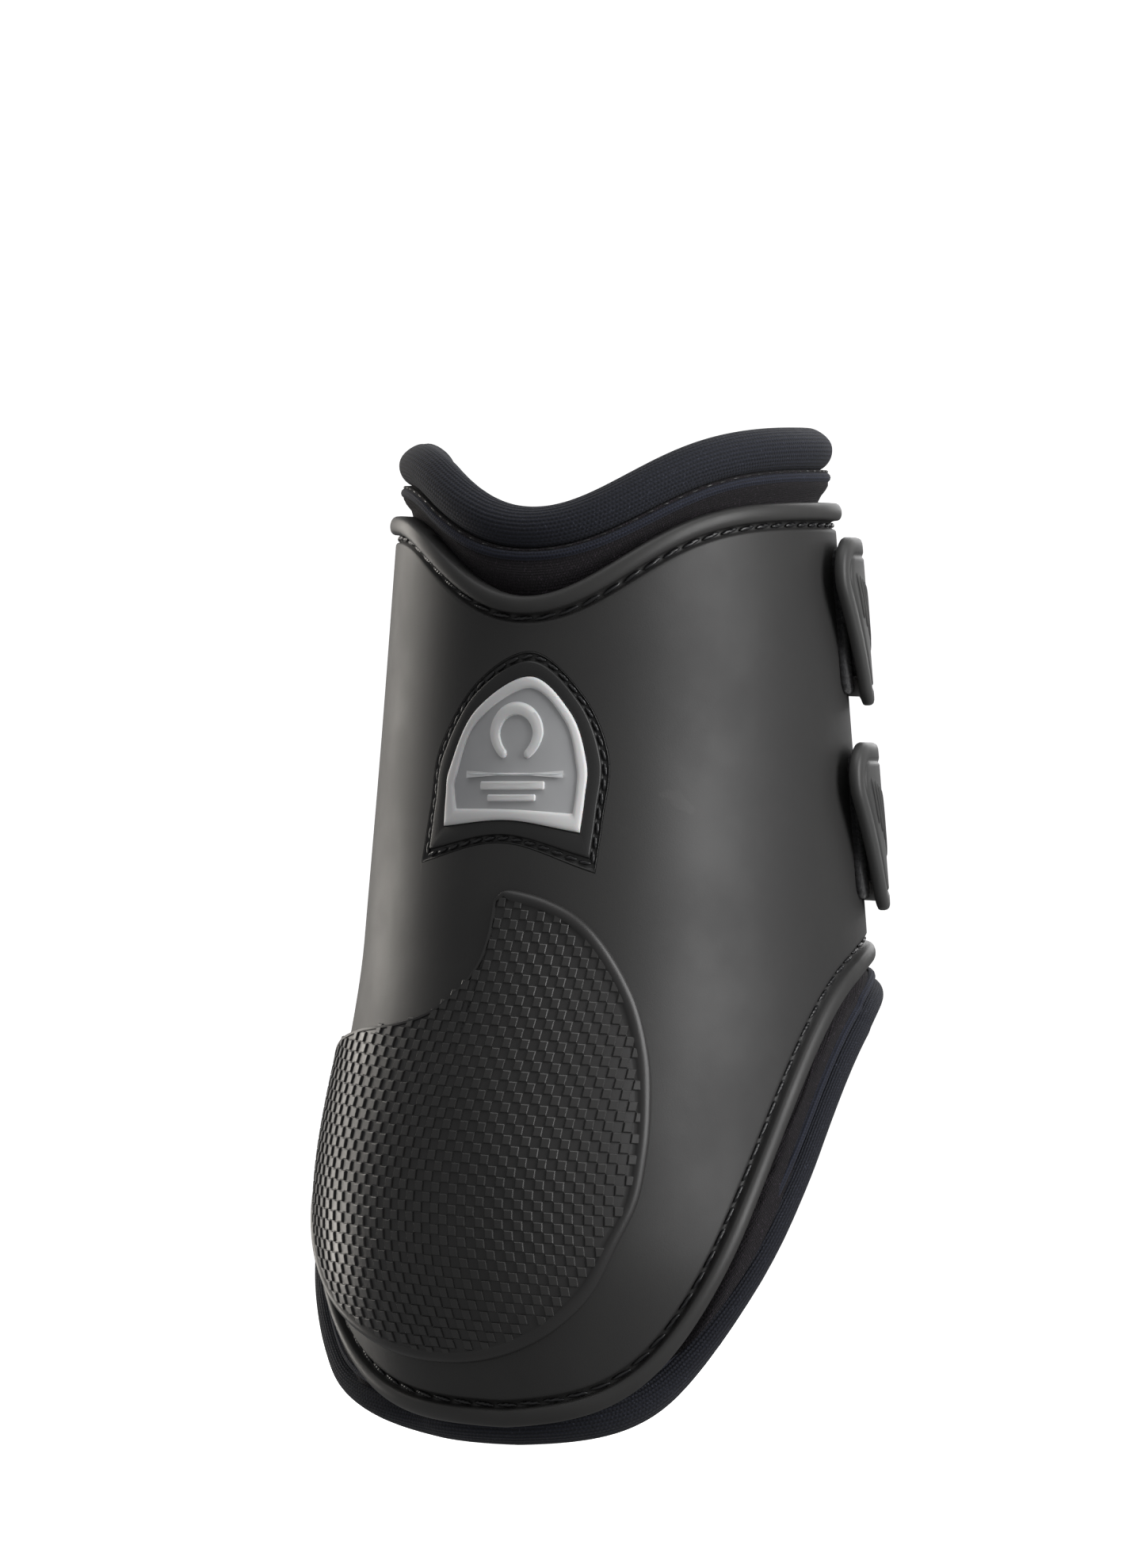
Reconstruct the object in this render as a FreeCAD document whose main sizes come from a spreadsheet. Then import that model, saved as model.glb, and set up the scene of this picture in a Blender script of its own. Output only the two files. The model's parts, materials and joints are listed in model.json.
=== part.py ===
import FreeCAD, Part
import Sketcher
import math
import os
from FreeCAD import Placement, Rotation, Vector

# Right hind fetlock boot, closed round the leg.
# Millimetres. +Z up the leg, +X to the front opening, -Y the outer side.
# The origin is on the leg axis, level with the lowest point of the hem.

doc = FreeCAD.newDocument("HindFetlockBoot")

# ---------------------------------------------------------------- sizes

SIZES = [
    ("boot_height", 182, "lowest point of the hem to the highest point of the top roll"),
    ("cannon_radius", 41.4, "leg form radius at mid height of the straps"),
    ("cannon_taper", 0.077, "radius lost per unit of height above the fetlock"),
    ("fetlock_radius", 49.0, "leg form half width over the fetlock"),
    ("hem_radius", 42.5, "leg form half width at the hem"),
    ("top_reach", 47.5, "leg form depth towards the back at the top"),
    ("cannon_reach", 51.0, "depth towards the back at mid height of the straps"),
    ("ankle_reach", 56.0, "depth towards the back just above the fetlock"),
    ("fetlock_reach", 62.5, "depth towards the back over the fetlock"),
    ("hem_reach", 52.0, "depth towards the back at the hem"),
    ("fetlock_lean", 2.5, "how far the fetlock cup leans to the inner side"),
    ("cannon_level", "=boot_height * 0.714", "height where cannon_radius holds"),
    ("cone_level", "=boot_height * 0.516", "lowest height of the plain cone"),
    ("ankle_level", "=boot_height * 0.4945", "height where ankle_reach holds"),
    ("fetlock_level", "=boot_height * 0.209", "height of the widest part"),
    ("shell_thickness", 2.5, "moulded strike shell wall"),
    ("shell_outer_angle", 148, "degrees from the back to the outer front edge of the shell"),
    ("shell_inner_angle", 105, "degrees from the back to the inner front edge of the shell"),
    ("shell_top", "=boot_height - 13.5", "shell top edge at the sides"),
    ("inner_drop", 2.5, "how much lower both top edges are on the inner side"),
    ("shell_dip", 17, "how far the shell top edge dips at the back"),
    ("shell_dip_spread", 34, "degrees, width of that dip"),
    ("bead_width", 3.2, "raised bead along the shell edges"),
    ("bead_rise", 1.3, "how proud the bead stands"),
    ("groove_width", 1.6, "stitch groove inside the bead"),
    ("groove_depth", 0.9, "stitch groove depth"),
    ("hem_low", 3.0, "shell hem above the base at the back"),
    ("hem_rise", "=boot_height * 0.4615", "shell hem climb from the back to the sides"),
    ("hem_turn", 57, "degrees from the back to the middle of that climb"),
    ("roll_hem_turn", 65.5, "degrees from the back to the middle of the roll's climb"),
    ("hem_sharpness", 11, "degrees, how gradual both climbs are"),
    ("inner_side_factor", 0.77, "the hem climbs later on the inner side"),
    ("bond_gap", 0.3, "glue line between the shell and what is bonded to it"),
    ("piping_tuck", 0.9, "how far the piping sits above the roll"),
    ("liner_thickness", 6.0, "neoprene liner"),
    ("liner_overhang", 1.4, "degrees the liner runs past each front edge of the shell"),
    ("binding_angle", 2.4, "degrees covered by each front binding"),
    ("roll_dip", 14.5, "how far the top roll dips at the back"),
    ("roll_dip_spread", 38, "degrees, width of that dip"),
    ("roll_height", 8.0, "padded roll, measured across the edge"),
    ("roll_hem_rise", "=hem_low + hem_rise - roll_height", "climb of the roll under the hem"),
    ("roll_width", 8.4, "padded roll, measured through the wall"),
    ("piping_radius", 0.7, "cord piping"),
    ("pad_thickness", 2.0, "gel pads inside the liner"),
    ("tendon_pad_height", 72.8, "gel pad behind the tendons"),
    ("tendon_pad_half_angle", 40, "degrees from the back to each side of that pad"),
    ("fetlock_pad_height", 36.4, "gel pad behind the fetlock"),
    ("fetlock_pad_half_angle", 44, "degrees from the back to each side of that pad"),
    ("pad_spacing", 7.3, "clear height between the two gel pads"),
    ("plate_rise", 3.1, "crown of the strike plate above the shell"),
    ("plate_edge", 1.1, "rim of the strike plate above the shell"),
    ("plate_gap", 0.2, "glue line under the strike plate"),
    ("plate_bearing", 32, "degrees from the back towards the inner side"),
    ("badge_bearing", -2, "degrees from the back towards the outer side"),
    ("badge_level", "=boot_height * 0.670", "height of the badge centre"),
    ("badge_recess", 0.8, "depth of the badge recess"),
    ("upper_strap_level", "=boot_height * 0.8088", "mid height of the upper strap"),
    ("lower_strap_level", "=boot_height * 0.6066", "mid height of the lower strap"),
    ("tab_height", 30.2, "moulded tab"),
    ("tab_thickness", 2.2, "moulded tab"),
    ("tab_offset", 2.4, "leg form to the inner face of the tab"),
    ("tab_tip_bearing", -94, "degrees from the front to the tip of the tab"),
    ("tab_root_bearing", -9, "degrees from the front to the sewn end of the tab"),
    ("tab_fold_bearing", -22, "degrees from the front to the line where the tab folds open"),
    ("fold_gap", 0.5, "degrees left free on each side of the fold line"),
    ("tab_tip_radius", 7.0, "rounded corner of the tab tip"),
    ("tab_taper_angle", 31, "degrees, slope of the tapered side of the tip"),
    ("elastic_height", 24, "elastic strap"),
    ("elastic_thickness", 1.4, "elastic strap"),
    ("elastic_offset", 0.6, "leg form to the inner face of the elastic"),
    ("elastic_start_bearing", -21, "degrees, end of the elastic under the sewn part of the tab"),
    ("anchor_start_bearing", "=180 - shell_inner_angle + 1", "degrees, near edge of the anchor plate"),
    ("anchor_width", 18, "degrees covered by the anchor plate"),
    ("swing_gap", 4.5, "degrees between the elastic and the anchor plate"),
    ("anchor_thickness", 2.1, "anchor plate"),
    ("patch_thickness", 1.0, "hook and loop patches"),
    ("patch_height", 26, "loop patch on the shell"),
    ("loop_start_bearing", -85, "degrees, back edge of the loop patch"),
    ("loop_end_bearing", -35, "degrees, front edge of the loop patch"),
    ("hook_height", 20, "hook patch under the tab"),
    ("hook_start_bearing", -78, "degrees, back edge of the hook patch"),
    ("hook_end_bearing", -37, "degrees, front edge of the hook patch"),
    ("thread_radius", 0.3, "sewing thread"),
    ("stitch_pitch", 4.3, "edge stitching"),
    ("stitch_length", 2.9, "edge stitching"),
    ("badge_pitch", 2.6, "badge stitching"),
    ("badge_stitch", 1.7, "badge stitching"),
    ("strap_pitch", 3.2, "stitching through the straps"),
    ("strap_stitch", 2.1, "stitching through the straps"),
]

sheet = doc.addObject("Spreadsheet::Sheet", "Sizes")
for row, (alias, value, note) in enumerate(SIZES, start=1):
    sheet.set("A%d" % row, alias)
    sheet.set("B%d" % row, str(value))
    sheet.set("C%d" % row, note)
    sheet.setAlias("B%d" % row, alias)
doc.recompute()


def size(alias):
    return float(sheet.get(alias))


BASE = 0.05  # least gap between two sewn or glued pieces
ANCHOR_GAP = 0.2  # anchor plate to shell
TOP_ROLL_DEPTH = -3.7  # centre of the top roll, from the outer face of the shell
HEM_ROLL_SHIFT = 0.6  # how far the free part of the hem roll moves out
ROLL_OVERHANG = 1.5  # degrees each roll runs past the end of the liner
BINDING_LAP = 0.6  # how far a front binding stands past each face of the liner
BINDING_GAP = 0.2  # degrees between the liner and a binding
EMBLEM_FACE = 1.1  # top of the badge relief above the shell
PAD_FOOT = 0.16  # foot of the lower gel pad as a share of the height
PLATE_CROWN = (-28, 0.285)  # angle and height share of the crown of the strike plate
PLATE_SPAN = (62, 0.26)  # angle and height share from the crown to the thinnest rim
CUT_START, CUT_LENGTH = 20, 60  # flat patterns are cut through this range from the leg axis
SEWN_MARGIN = 2.5  # sewn rectangle inside the edges of a band, mm or degrees

# ---------------------------------------------------------------- leg form


def smooth_step(value, low, high):
    t = min(max((value - low) / (high - low), 0.0), 1.0)
    return t * t * (3 - 2 * t)


def cone_radius(z):
    return size("cannon_radius") + size("cannon_taper") * (size("cannon_level") - z)


def monotone_curve(stations):
    """Smooth curve through (height, value) stations that never overshoots them."""
    xs = [s[0] for s in stations]
    ys = [s[1] for s in stations]
    steps = [b - a for a, b in zip(xs, xs[1:])]
    rises = [(b - a) / h for a, b, h in zip(ys, ys[1:], steps)]
    slopes = [rises[0]]
    for i in range(1, len(xs) - 1):
        if rises[i - 1] * rises[i] <= 0:
            slopes.append(0.0)
        else:
            near = 2 * steps[i] + steps[i - 1]
            far = steps[i] + 2 * steps[i - 1]
            slopes.append((near + far) / (near / rises[i - 1] + far / rises[i]))
    slopes.append(rises[-1])

    def curve(x):
        x = min(max(x, xs[0]), xs[-1])
        i = 0
        while i < len(xs) - 2 and x > xs[i + 1]:
            i += 1
        t = (x - xs[i]) / steps[i]
        return ((2 * t**3 - 3 * t**2 + 1) * ys[i] + (t**3 - 2 * t**2 + t) * steps[i] * slopes[i]
                + (3 * t**2 - 2 * t**3) * ys[i + 1] + (t**3 - t**2) * steps[i] * slopes[i + 1])

    return curve


HEIGHT = size("boot_height")
half_width = monotone_curve([
    (0, size("hem_radius")),
    (size("fetlock_level"), size("fetlock_radius")),
    (size("ankle_level"), cone_radius(size("ankle_level"))),
    (size("cone_level"), cone_radius(size("cone_level"))),
    (HEIGHT + 10, cone_radius(HEIGHT + 10)),
])
back_reach = monotone_curve([
    (0, size("hem_reach")),
    (size("fetlock_level"), size("fetlock_reach")),
    (size("ankle_level"), size("ankle_reach")),
    (size("cannon_level"), size("cannon_reach")),
    (HEIGHT + 10, size("top_reach")),
])


def lean(z):
    return size("fetlock_lean") * (1 - smooth_step(z, HEIGHT * 0.22, HEIGHT * 0.495))


def form_point(angle, z, depth=0.0):
    """Point on the leg form. angle is in degrees from the back, positive to the outer side."""
    cosine = math.cos(math.radians(angle))
    sine = math.sin(math.radians(angle))
    wide = half_width(z) + depth
    deep = (back_reach(z) if cosine > 0 else half_width(z)) + depth
    return Vector(-deep * cosine, -wide * sine + lean(z), z)


def arc_per_degree(angle, z):
    return (form_point(angle + 0.5, z) - form_point(angle - 0.5, z)).Length


# ---------------------------------------------------------------- edge lines


def side_angle(angle):
    return angle if angle >= 0 else -angle * size("inner_side_factor")


def climb(angle, rise, turn):
    return rise / (1 + math.exp(-(side_angle(angle) - turn) / size("hem_sharpness")))


def shell_hem(angle):
    return size("hem_low") + climb(angle, size("hem_rise"), size("hem_turn"))


def roll_hem(angle):
    return climb(angle, size("roll_hem_rise"), size("roll_hem_turn"))


def top_edge(angle, level, dip, spread_angle):
    """Level edge with a dip at the back, a little lower on the inner side."""
    drop = size("inner_drop") * smooth_step(-angle, 35, 75)
    return level - drop - dip * math.exp(-(angle / spread_angle) ** 2)


def shell_top(angle):
    return top_edge(angle, size("shell_top"), size("shell_dip"), size("shell_dip_spread"))


def roll_top(angle):
    return top_edge(angle, HEIGHT, size("roll_dip"), size("roll_dip_spread"))


def stretch(edge, angle):
    """Height needed to move one unit square to a sloping edge."""
    slope = (edge(angle + 0.5) - edge(angle - 0.5)) / arc_per_degree(angle, edge(angle))
    return math.sqrt(1 + slope * slope)


def inside_hem(edge, angle, distance):
    return edge(angle) + distance * stretch(edge, angle)


def inside_top(edge, angle, distance):
    return edge(angle) - distance * stretch(edge, angle)


def spread(low, high, count):
    return [low + (high - low) * i / (count - 1) for i in range(count)]


# ---------------------------------------------------------------- solids


def through(points):
    curve = Part.BSplineCurve()
    curve.interpolate(points)
    return curve.toShape()


def skin(rows):
    surface = Part.BSplineSurface()
    surface.interpolate(rows)
    return surface


def ruled(first, second):
    """Straight face between two edges that run the same way."""
    same_way = 1
    return Part.makeRuledSurface(first, second, same_way)


def side_edges(surface):
    """Edges of a surface: at the first angle, last angle, hem and top."""
    u0, u1, v0, v1 = surface.bounds()
    return (surface.uIso(u0).toShape(), surface.uIso(u1).toShape(),
            surface.vIso(v0).toShape(), surface.vIso(v1).toShape())


def closed_solid(faces):
    shell = Part.makeShell(faces)
    shell.sewShape()
    solid = Part.makeSolid(shell)
    if solid.Volume < 0:
        solid.reverse()
    return solid


def curved_brick(angles, low, high, outer, inner, rows=12):
    """Solid between two offsets of the leg form and two edge lines.

    low, high give a height at an angle. outer, inner give a depth at an angle and a height."""
    def grid(depth):
        return [[form_point(a, z, depth(a, z)) for z in spread(low(a), high(a), rows)]
                for a in angles]
    out, ins = skin(grid(outer)), skin(grid(inner))
    faces = [out.toShape(), ins.toShape()]
    faces += [ruled(p, q) for p, q in zip(side_edges(out), side_edges(ins))]
    return closed_solid(faces)


def flat(depth):
    return lambda angle, z: depth


def flat_line(value):
    return lambda angle: value


def tube(centres, across, upward, half_across, half_up):
    """Rounded roll skinned over ellipses, as two half skins and a flat cap at each end."""
    turns = [2 * math.pi * i / 16 for i in range(17)]
    whole = skin([[centre + out * (half_across * math.sin(t)) + up * (half_up * math.cos(t))
                   for t in turns] for centre, out, up in zip(centres, across, upward)])
    u0, u1, v0, v1 = whole.bounds()
    faces, first_ends, last_ends = [], [], []
    for low, high in ((v0, (v0 + v1) / 2), ((v0 + v1) / 2, v1)):
        half = whole.copy()
        half.segment(u0, u1, low, high)
        faces.append(half.toShape())
        first, last = side_edges(half)[:2]
        first_ends.append(first)
        last_ends.append(last)
    caps = [Part.Face(Part.Wire(edges)) for edges in (first_ends, last_ends)]
    return closed_solid(faces + caps)


def edge_tube(angles, edge, distance, depth, half_across, half_up, sign):
    """Tube that runs inside an edge line. sign is +1 inside a hem and -1 inside a top edge."""
    def centre(a, more=0.0):
        return form_point(a, edge(a) + sign * distance(a) * stretch(edge, a), depth(a) + more)
    centres, across, upward = [], [], []
    for a in angles:
        along = (centre(a + 0.5) - centre(a - 0.5)).normalize()
        upward.append(centre(a, 1).sub(centre(a)).cross(along).normalize())
        across.append(along.cross(upward[-1]).normalize())
        centres.append(centre(a))
    return tube(centres, across, upward, half_across, half_up)


def stitch(start, end):
    return Part.makeCylinder(size("thread_radius"), (end - start).Length, start, end - start)


def stitch_row(path, pitch, length):
    """Separate stitches along a path given as closely spaced points."""
    stitches, travelled, begin = [], 0.0, None
    for here, ahead in zip(path, path[1:]):
        travelled += (ahead - here).Length
        if begin is None and travelled >= pitch - length:
            begin = ahead
        elif begin is not None and (ahead - begin).Length >= length:
            stitches.append(stitch(begin, ahead))
            begin, travelled = None, 0.0
    return Part.makeCompound(stitches)


def add_part(name, shape):
    item = doc.addObject("Part::Feature", name)
    item.Label = name
    item.Shape = shape
    item.Placement = Placement()
    return item


# ---------------------------------------------------------------- shell


SHELL_ANGLES = spread(-size("shell_inner_angle"), size("shell_outer_angle"), 65)


def bead_profile():
    """(distance from the edge, depth) across the bead and the stitch groove."""
    width, rise = size("bead_width"), size("bead_rise")
    floor, groove = -size("groove_depth"), size("groove_width")
    return [(0.0, 0.0), (0.15 * width, 0.75 * rise), (0.35 * width, rise), (0.7 * width, rise),
            (0.9 * width, 0.7 * rise), (width, 0.0), (width + 0.2, floor),
            (width + groove - 0.2, floor), (width + groove, 0.0)]


def edge_lines(edge, shift):
    """Matching outer and inner curves over the bead at one edge, edge first."""
    outer, inner = [], []
    for distance, depth in bead_profile():
        heights = [shift(edge, a, distance) for a in SHELL_ANGLES]
        outer.append([form_point(a, z, depth) for a, z in zip(SHELL_ANGLES, heights)])
        inner.append([form_point(a, z, -size("shell_thickness"))
                      for a, z in zip(SHELL_ANGLES, heights)])
    return outer, inner


def ladder(rows, last_edge):
    """Ruled faces from row to row, ending on an existing edge."""
    edges = [through(row) for row in rows[:-1]] + [last_edge]
    return edges, [ruled(p, q) for p, q in zip(edges, edges[1:])]


def rung(points_a, points_b):
    return Part.makeLine(points_a, points_b)


def shell_solid():
    width = size("bead_width") + size("groove_width")
    grids = []
    for depth in (0.0, -size("shell_thickness")):
        grids.append([[form_point(a, z, depth) for z in
                       spread(inside_hem(shell_hem, a, width), inside_top(shell_top, a, width), 13)]
                      for a in SHELL_ANGLES])
    out, ins = skin(grids[0]), skin(grids[1])
    out_first, out_last, out_low, out_high = side_edges(out)
    in_first, in_last, in_low, in_high = side_edges(ins)
    faces = [out.toShape(), ins.toShape(),
             ruled(out_first, in_first), ruled(out_last, in_last)]
    for edge, shift, out_edge, in_edge in ((shell_hem, inside_hem, out_low, in_low),
                                           (shell_top, inside_top, out_high, in_high)):
        outer, inner = edge_lines(edge, shift)
        outer_edges, outer_faces = ladder(outer, out_edge)
        inner_edges, inner_faces = ladder(inner, in_edge)
        faces += outer_faces + inner_faces
        faces.append(ruled(outer_edges[0], inner_edges[0]))
        for end in (0, -1):
            for i in range(len(outer) - 1):
                faces.append(ruled(rung(outer[i][end], outer[i + 1][end]),
                                                   rung(inner[i][end], inner[i + 1][end])))
    return closed_solid(faces)


# ---------------------------------------------------------------- badge


def bearing_frame(bearing, level):
    """Outward and sideways directions of a flat pattern at a bearing, and its centre."""
    out = Vector(-math.cos(math.radians(bearing)), -math.sin(math.radians(bearing)), 0)
    right = Vector(-out.y, out.x, 0)
    return out, right, Vector(0, 0, level)


def angle_beside(bearing, sideways, z):
    """Angle where the leg form lies a distance sideways of a bearing."""
    right = bearing_frame(bearing, 0)[1]
    low, high = bearing - 60.0, bearing + 60.0
    for _ in range(30):
        middle = (low + high) / 2
        if form_point(middle, z).dot(right) < sideways:
            low = middle
        else:
            high = middle
    return low


def outline_edges(outline, place):
    """Edges of an outline whose points are put somewhere by place."""
    edges = []
    for kind, points in outline:
        placed = [place(x, z) for x, z in points]
        if kind == "line":
            edges.append(Part.makeLine(placed[0], placed[1]))
        elif kind == "arc":
            edges.append(Part.Arc(*placed).toShape())
        else:
            edges.append(through(placed))
    return edges


def prism(outline, bearing, level):
    """Outline in (sideways, upward) turned into a long prism pointing out at a bearing."""
    out, right, base = bearing_frame(bearing, level)
    face = Part.Face(Part.Wire(outline_edges(
        outline, lambda x, z: base + right * x + Vector(0, 0, z) + out * CUT_START)))
    return face.extrude(out * CUT_LENGTH)


# Badge key points (sideways, upward) from the right foot up, over and down to the left foot,
# with the middle of the hollow base last: edge of the recess, and outer edge of the rim.
RECESS_LINE = [(15.7, -19.9), (16.5, -10.2), (17.0, 0.9), (12.4, 12.0), (3.2, 19.7),
               (-7.8, 14.1), (-15.6, 2.6), (-17.2, -7.4), (-18.8, -18.0), (-1.2, -14.5)]
RIM_LINE = [(12.7, -12.3), (13.2, -6.2), (13.2, -0.2), (10.3, 8.6), (3.0, 15.0),
            (-7.4, 8.9), (-12.3, -1.1), (-12.9, -5.9), (-13.0, -11.1), (0.1, -10.2)]


def arch(share):
    """Gothic arch with flared feet: the recess at share 0, the rim at 1, further in beyond."""
    points = [(a + (c - a) * share, b + (d - b) * share)
              for (a, b), (c, d) in zip(RECESS_LINE, RIM_LINE)]
    return [("curve", points[:9]), ("arc", [points[8], points[9], points[0]])]


def ring_outline(radius, x=0.0, z=0.0):
    return [("arc", [(x - radius, z), (x, z + radius), (x + radius, z)]),
            ("arc", [(x + radius, z), (x, z - radius), (x - radius, z)])]


def block(width, height, x, z):
    corners = [(x - width / 2, z - height / 2), (x + width / 2, z - height / 2),
               (x + width / 2, z + height / 2), (x - width / 2, z + height / 2)]
    return [("line", [p, q]) for p, q in zip(corners, corners[1:] + corners[:1])]


def badge_layer(low_depth, high_depth):
    """Curved slab between two depths, wider and taller than the whole badge."""
    level, bearing = size("badge_level"), size("badge_bearing")
    wide, tall = 34, 27
    return curved_brick(spread(bearing - wide, bearing + wide, 21), lambda a: level - tall,
                        lambda a: level + tall, flat(high_depth), flat(low_depth), rows=9)


def badge_prism(outline):
    return prism(outline, size("badge_bearing"), size("badge_level"))


# ---------------------------------------------------------------- strike plate


def plate_outline():
    """Leaf with a horn at its upper inner corner, (sideways, height)."""
    horn, crown = (27.2, HEIGHT * 0.527), (32.5, HEIGHT * 0.5385)
    heel = (-35.0, HEIGHT * 0.341)
    return [("curve", [horn, (29.5, HEIGHT * 0.541), crown, (40.2, HEIGHT * 0.502),
                       (46.1, HEIGHT * 0.425), (49.2, HEIGHT * 0.318), (48.0, HEIGHT * 0.2),
                       (42.3, HEIGHT * 0.13), (32.0, HEIGHT * 0.09), (18.0, HEIGHT * 0.087),
                       (0.0, HEIGHT * 0.118), (-21.0, HEIGHT * 0.197), (-32.0, HEIGHT * 0.284),
                       heel]),
            ("curve", [heel, (-24.0, HEIGHT * 0.377), (0.0, HEIGHT * 0.405),
                       (16.5, HEIGHT * 0.431), (24.8, HEIGHT * 0.473), horn])]


def plate_depth(angle, z):
    """Gentle dome, highest over the point of the fetlock."""
    across = (angle - PLATE_CROWN[0]) / PLATE_SPAN[0]
    upward = (z - HEIGHT * PLATE_CROWN[1]) / (HEIGHT * PLATE_SPAN[1])
    fall = min(1.0, across * across + upward * upward)
    return size("plate_edge") + (size("plate_rise") - size("plate_edge")) * (1 - fall)


def plate_solid():
    """Outline cut from a domed slab that reaches past it on every side."""
    dome = curved_brick(spread(-112, 56, 43), lambda a: HEIGHT * 0.06, lambda a: HEIGHT * 0.56,
                        plate_depth, flat(size("plate_gap")), rows=15)
    return prism(plate_outline(), -size("plate_bearing"), 0).common(dome)


# ---------------------------------------------------------------- straps


def radius_rule(level_rule, offset_rule):
    """Spreadsheet formula for the cone radius at a height plus an offset."""
    return ("Sizes.cannon_radius + Sizes.cannon_taper * (Sizes.cannon_level - (%s)) + (%s)"
            % (level_rule, offset_rule))


def plane_of(body, role):
    return next(f for f in body.Origin.OriginFeatures if f.Role == role)


def new_sketch(body, role):
    sketch = body.newObject("Sketcher::SketchObject", body.Name + "_sketch")
    sketch.AttachmentSupport = [(plane_of(body, role), "")]
    sketch.MapMode = "FlatFace"
    return sketch


def lock(sketch, kind, geometry, point, value, rule):
    """Distance from the sketch origin to a point, driven by the spreadsheet."""
    index = sketch.addConstraint(Sketcher.Constraint(kind, -1, 1, geometry, point, value))
    sketch.setExpression("Constraints[%d]" % index, rule)


def chain(sketch, count):
    """Join each curve to the next at the ends that already touch."""
    for i in range(count):
        j = (i + 1) % count
        pairs = [(p, q) for p in (1, 2) for q in (1, 2)
                 if sketch.getPoint(i, p).distanceToPoint(sketch.getPoint(j, q)) < 0.001]
        sketch.addConstraint(Sketcher.Constraint("Coincident", i, pairs[0][0], j, pairs[0][1]))


def cone_band(name, level_rule, height_rule, offset_rule, thickness_rule, start_rule, end_rule):
    """Strip of a cone wrapped round the leg form between two bearings from the front."""
    body = doc.addObject("PartDesign::Body", name)
    body.Label = name
    sketch = new_sketch(body, "XZ_Plane")
    low = "(%s) - (%s) / 2" % (level_rule, height_rule)
    high = "(%s) + (%s) / 2" % (level_rule, height_rule)
    outer_rule = "(%s) + (%s)" % (offset_rule, thickness_rule)
    corners = [(low, offset_rule, 45, 100), (low, outer_rule, 48, 100),
               (high, outer_rule, 47, 120), (high, offset_rule, 44, 120)]
    for here, ahead in zip(corners, corners[1:] + corners[:1]):
        sketch.addGeometry(Part.LineSegment(Vector(here[2], here[3], 0),
                                            Vector(ahead[2], ahead[3], 0)), False)
    chain(sketch, 4)
    for i, (level, offset, x, z) in enumerate(corners):
        lock(sketch, "DistanceX", i, 1, x, radius_rule(level, offset))
        lock(sketch, "DistanceY", i, 1, z, level)
    turned = body.newObject("PartDesign::Revolution", name + "_band")
    turned.Profile = sketch
    turned.ReferenceAxis = (sketch, ["V_Axis"])
    turned.setExpression("Angle", "(%s) - (%s)" % (end_rule, start_rule))
    body.Tip = turned
    body.setExpression("Placement.Rotation.Angle", start_rule)
    return body


def tip_outline(top, low):
    """Everything outside the leaf shaped tip, as lines and arcs in (sideways, height)."""
    radius, taper = size("tab_tip_radius"), math.radians(size("tab_taper_angle"))
    soft = radius * 0.8
    centre = Vector(radius, top - radius, 0)
    leave = centre + Vector(-math.cos(taper), -math.sin(taper), 0) * radius
    run = (leave.y - low - soft * (1 - math.sin(taper))) / math.cos(taper)
    meet = leave + Vector(math.sin(taper), -math.cos(taper), 0) * run
    soft_centre = meet + Vector(math.cos(taper), math.sin(taper), 0) * soft
    foot = soft_centre - Vector(0, soft, 0)

    def arc(middle, radius, start, turn):
        point = [middle + Vector(math.cos(a), math.sin(a), 0) * radius
                 for a in (start, start + turn / 2, start + turn)]
        return Part.Arc(*point)
    return [Part.LineSegment(Vector(-4, top + 4, 0), Vector(-4, low - 4, 0)),
            Part.LineSegment(Vector(-4, low - 4, 0), Vector(foot.x, low - 4, 0)),
            Part.LineSegment(Vector(foot.x, low - 4, 0), foot),
            arc(soft_centre, soft, -math.pi / 2, -(math.pi / 2 - taper)),
            Part.LineSegment(meet, leave),
            arc(centre, radius, math.pi + taper, -(math.pi / 2 + taper)),
            Part.LineSegment(Vector(radius, top, 0), Vector(radius, top + 4, 0)),
            Part.LineSegment(Vector(radius, top + 4, 0), Vector(-4, top + 4, 0))]


def strap_tab(name, level_alias):
    """Moulded tab: a cone band with its free end cut to a leaf."""
    level_rule = "Sizes." + level_alias
    body = cone_band(name, level_rule, "Sizes.tab_height", "Sizes.tab_offset",
                     "Sizes.tab_thickness", "Sizes.tab_tip_bearing",
                     "Sizes.tab_fold_bearing - Sizes.fold_gap")
    sketch = new_sketch(body, "YZ_Plane")
    level, half = size(level_alias), size("tab_height") / 2
    sketch.addGeometry(tip_outline(level + half, level - half), False)
    chain(sketch, 8)
    cut = body.newObject("PartDesign::Pocket", name + "_tip")
    cut.Profile = sketch
    cut.Type = "ThroughAll"
    cut.Midplane = True
    body.Tip = cut
    return body


def surface_point(bearing, z, offset):
    radius = cone_radius(z) + offset
    return Vector(radius * math.cos(math.radians(bearing)),
                  radius * math.sin(math.radians(bearing)), z)


def box_stitches(start, end, low, high, offset):
    """Sewn rectangle on a cone band, one stitch after another."""
    corners = [(start, low), (end, low), (end, high), (start, high), (start, low)]
    rows = []
    for (b0, z0), (b1, z1) in zip(corners, corners[1:]):
        path = [surface_point(b0 + (b1 - b0) * t, z0 + (z1 - z0) * t, offset)
                for t in spread(0.06, 0.94, 60)]
        rows.append(stitch_row(path, size("strap_pitch"), size("strap_stitch")))
    return Part.makeCompound(rows)


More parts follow.
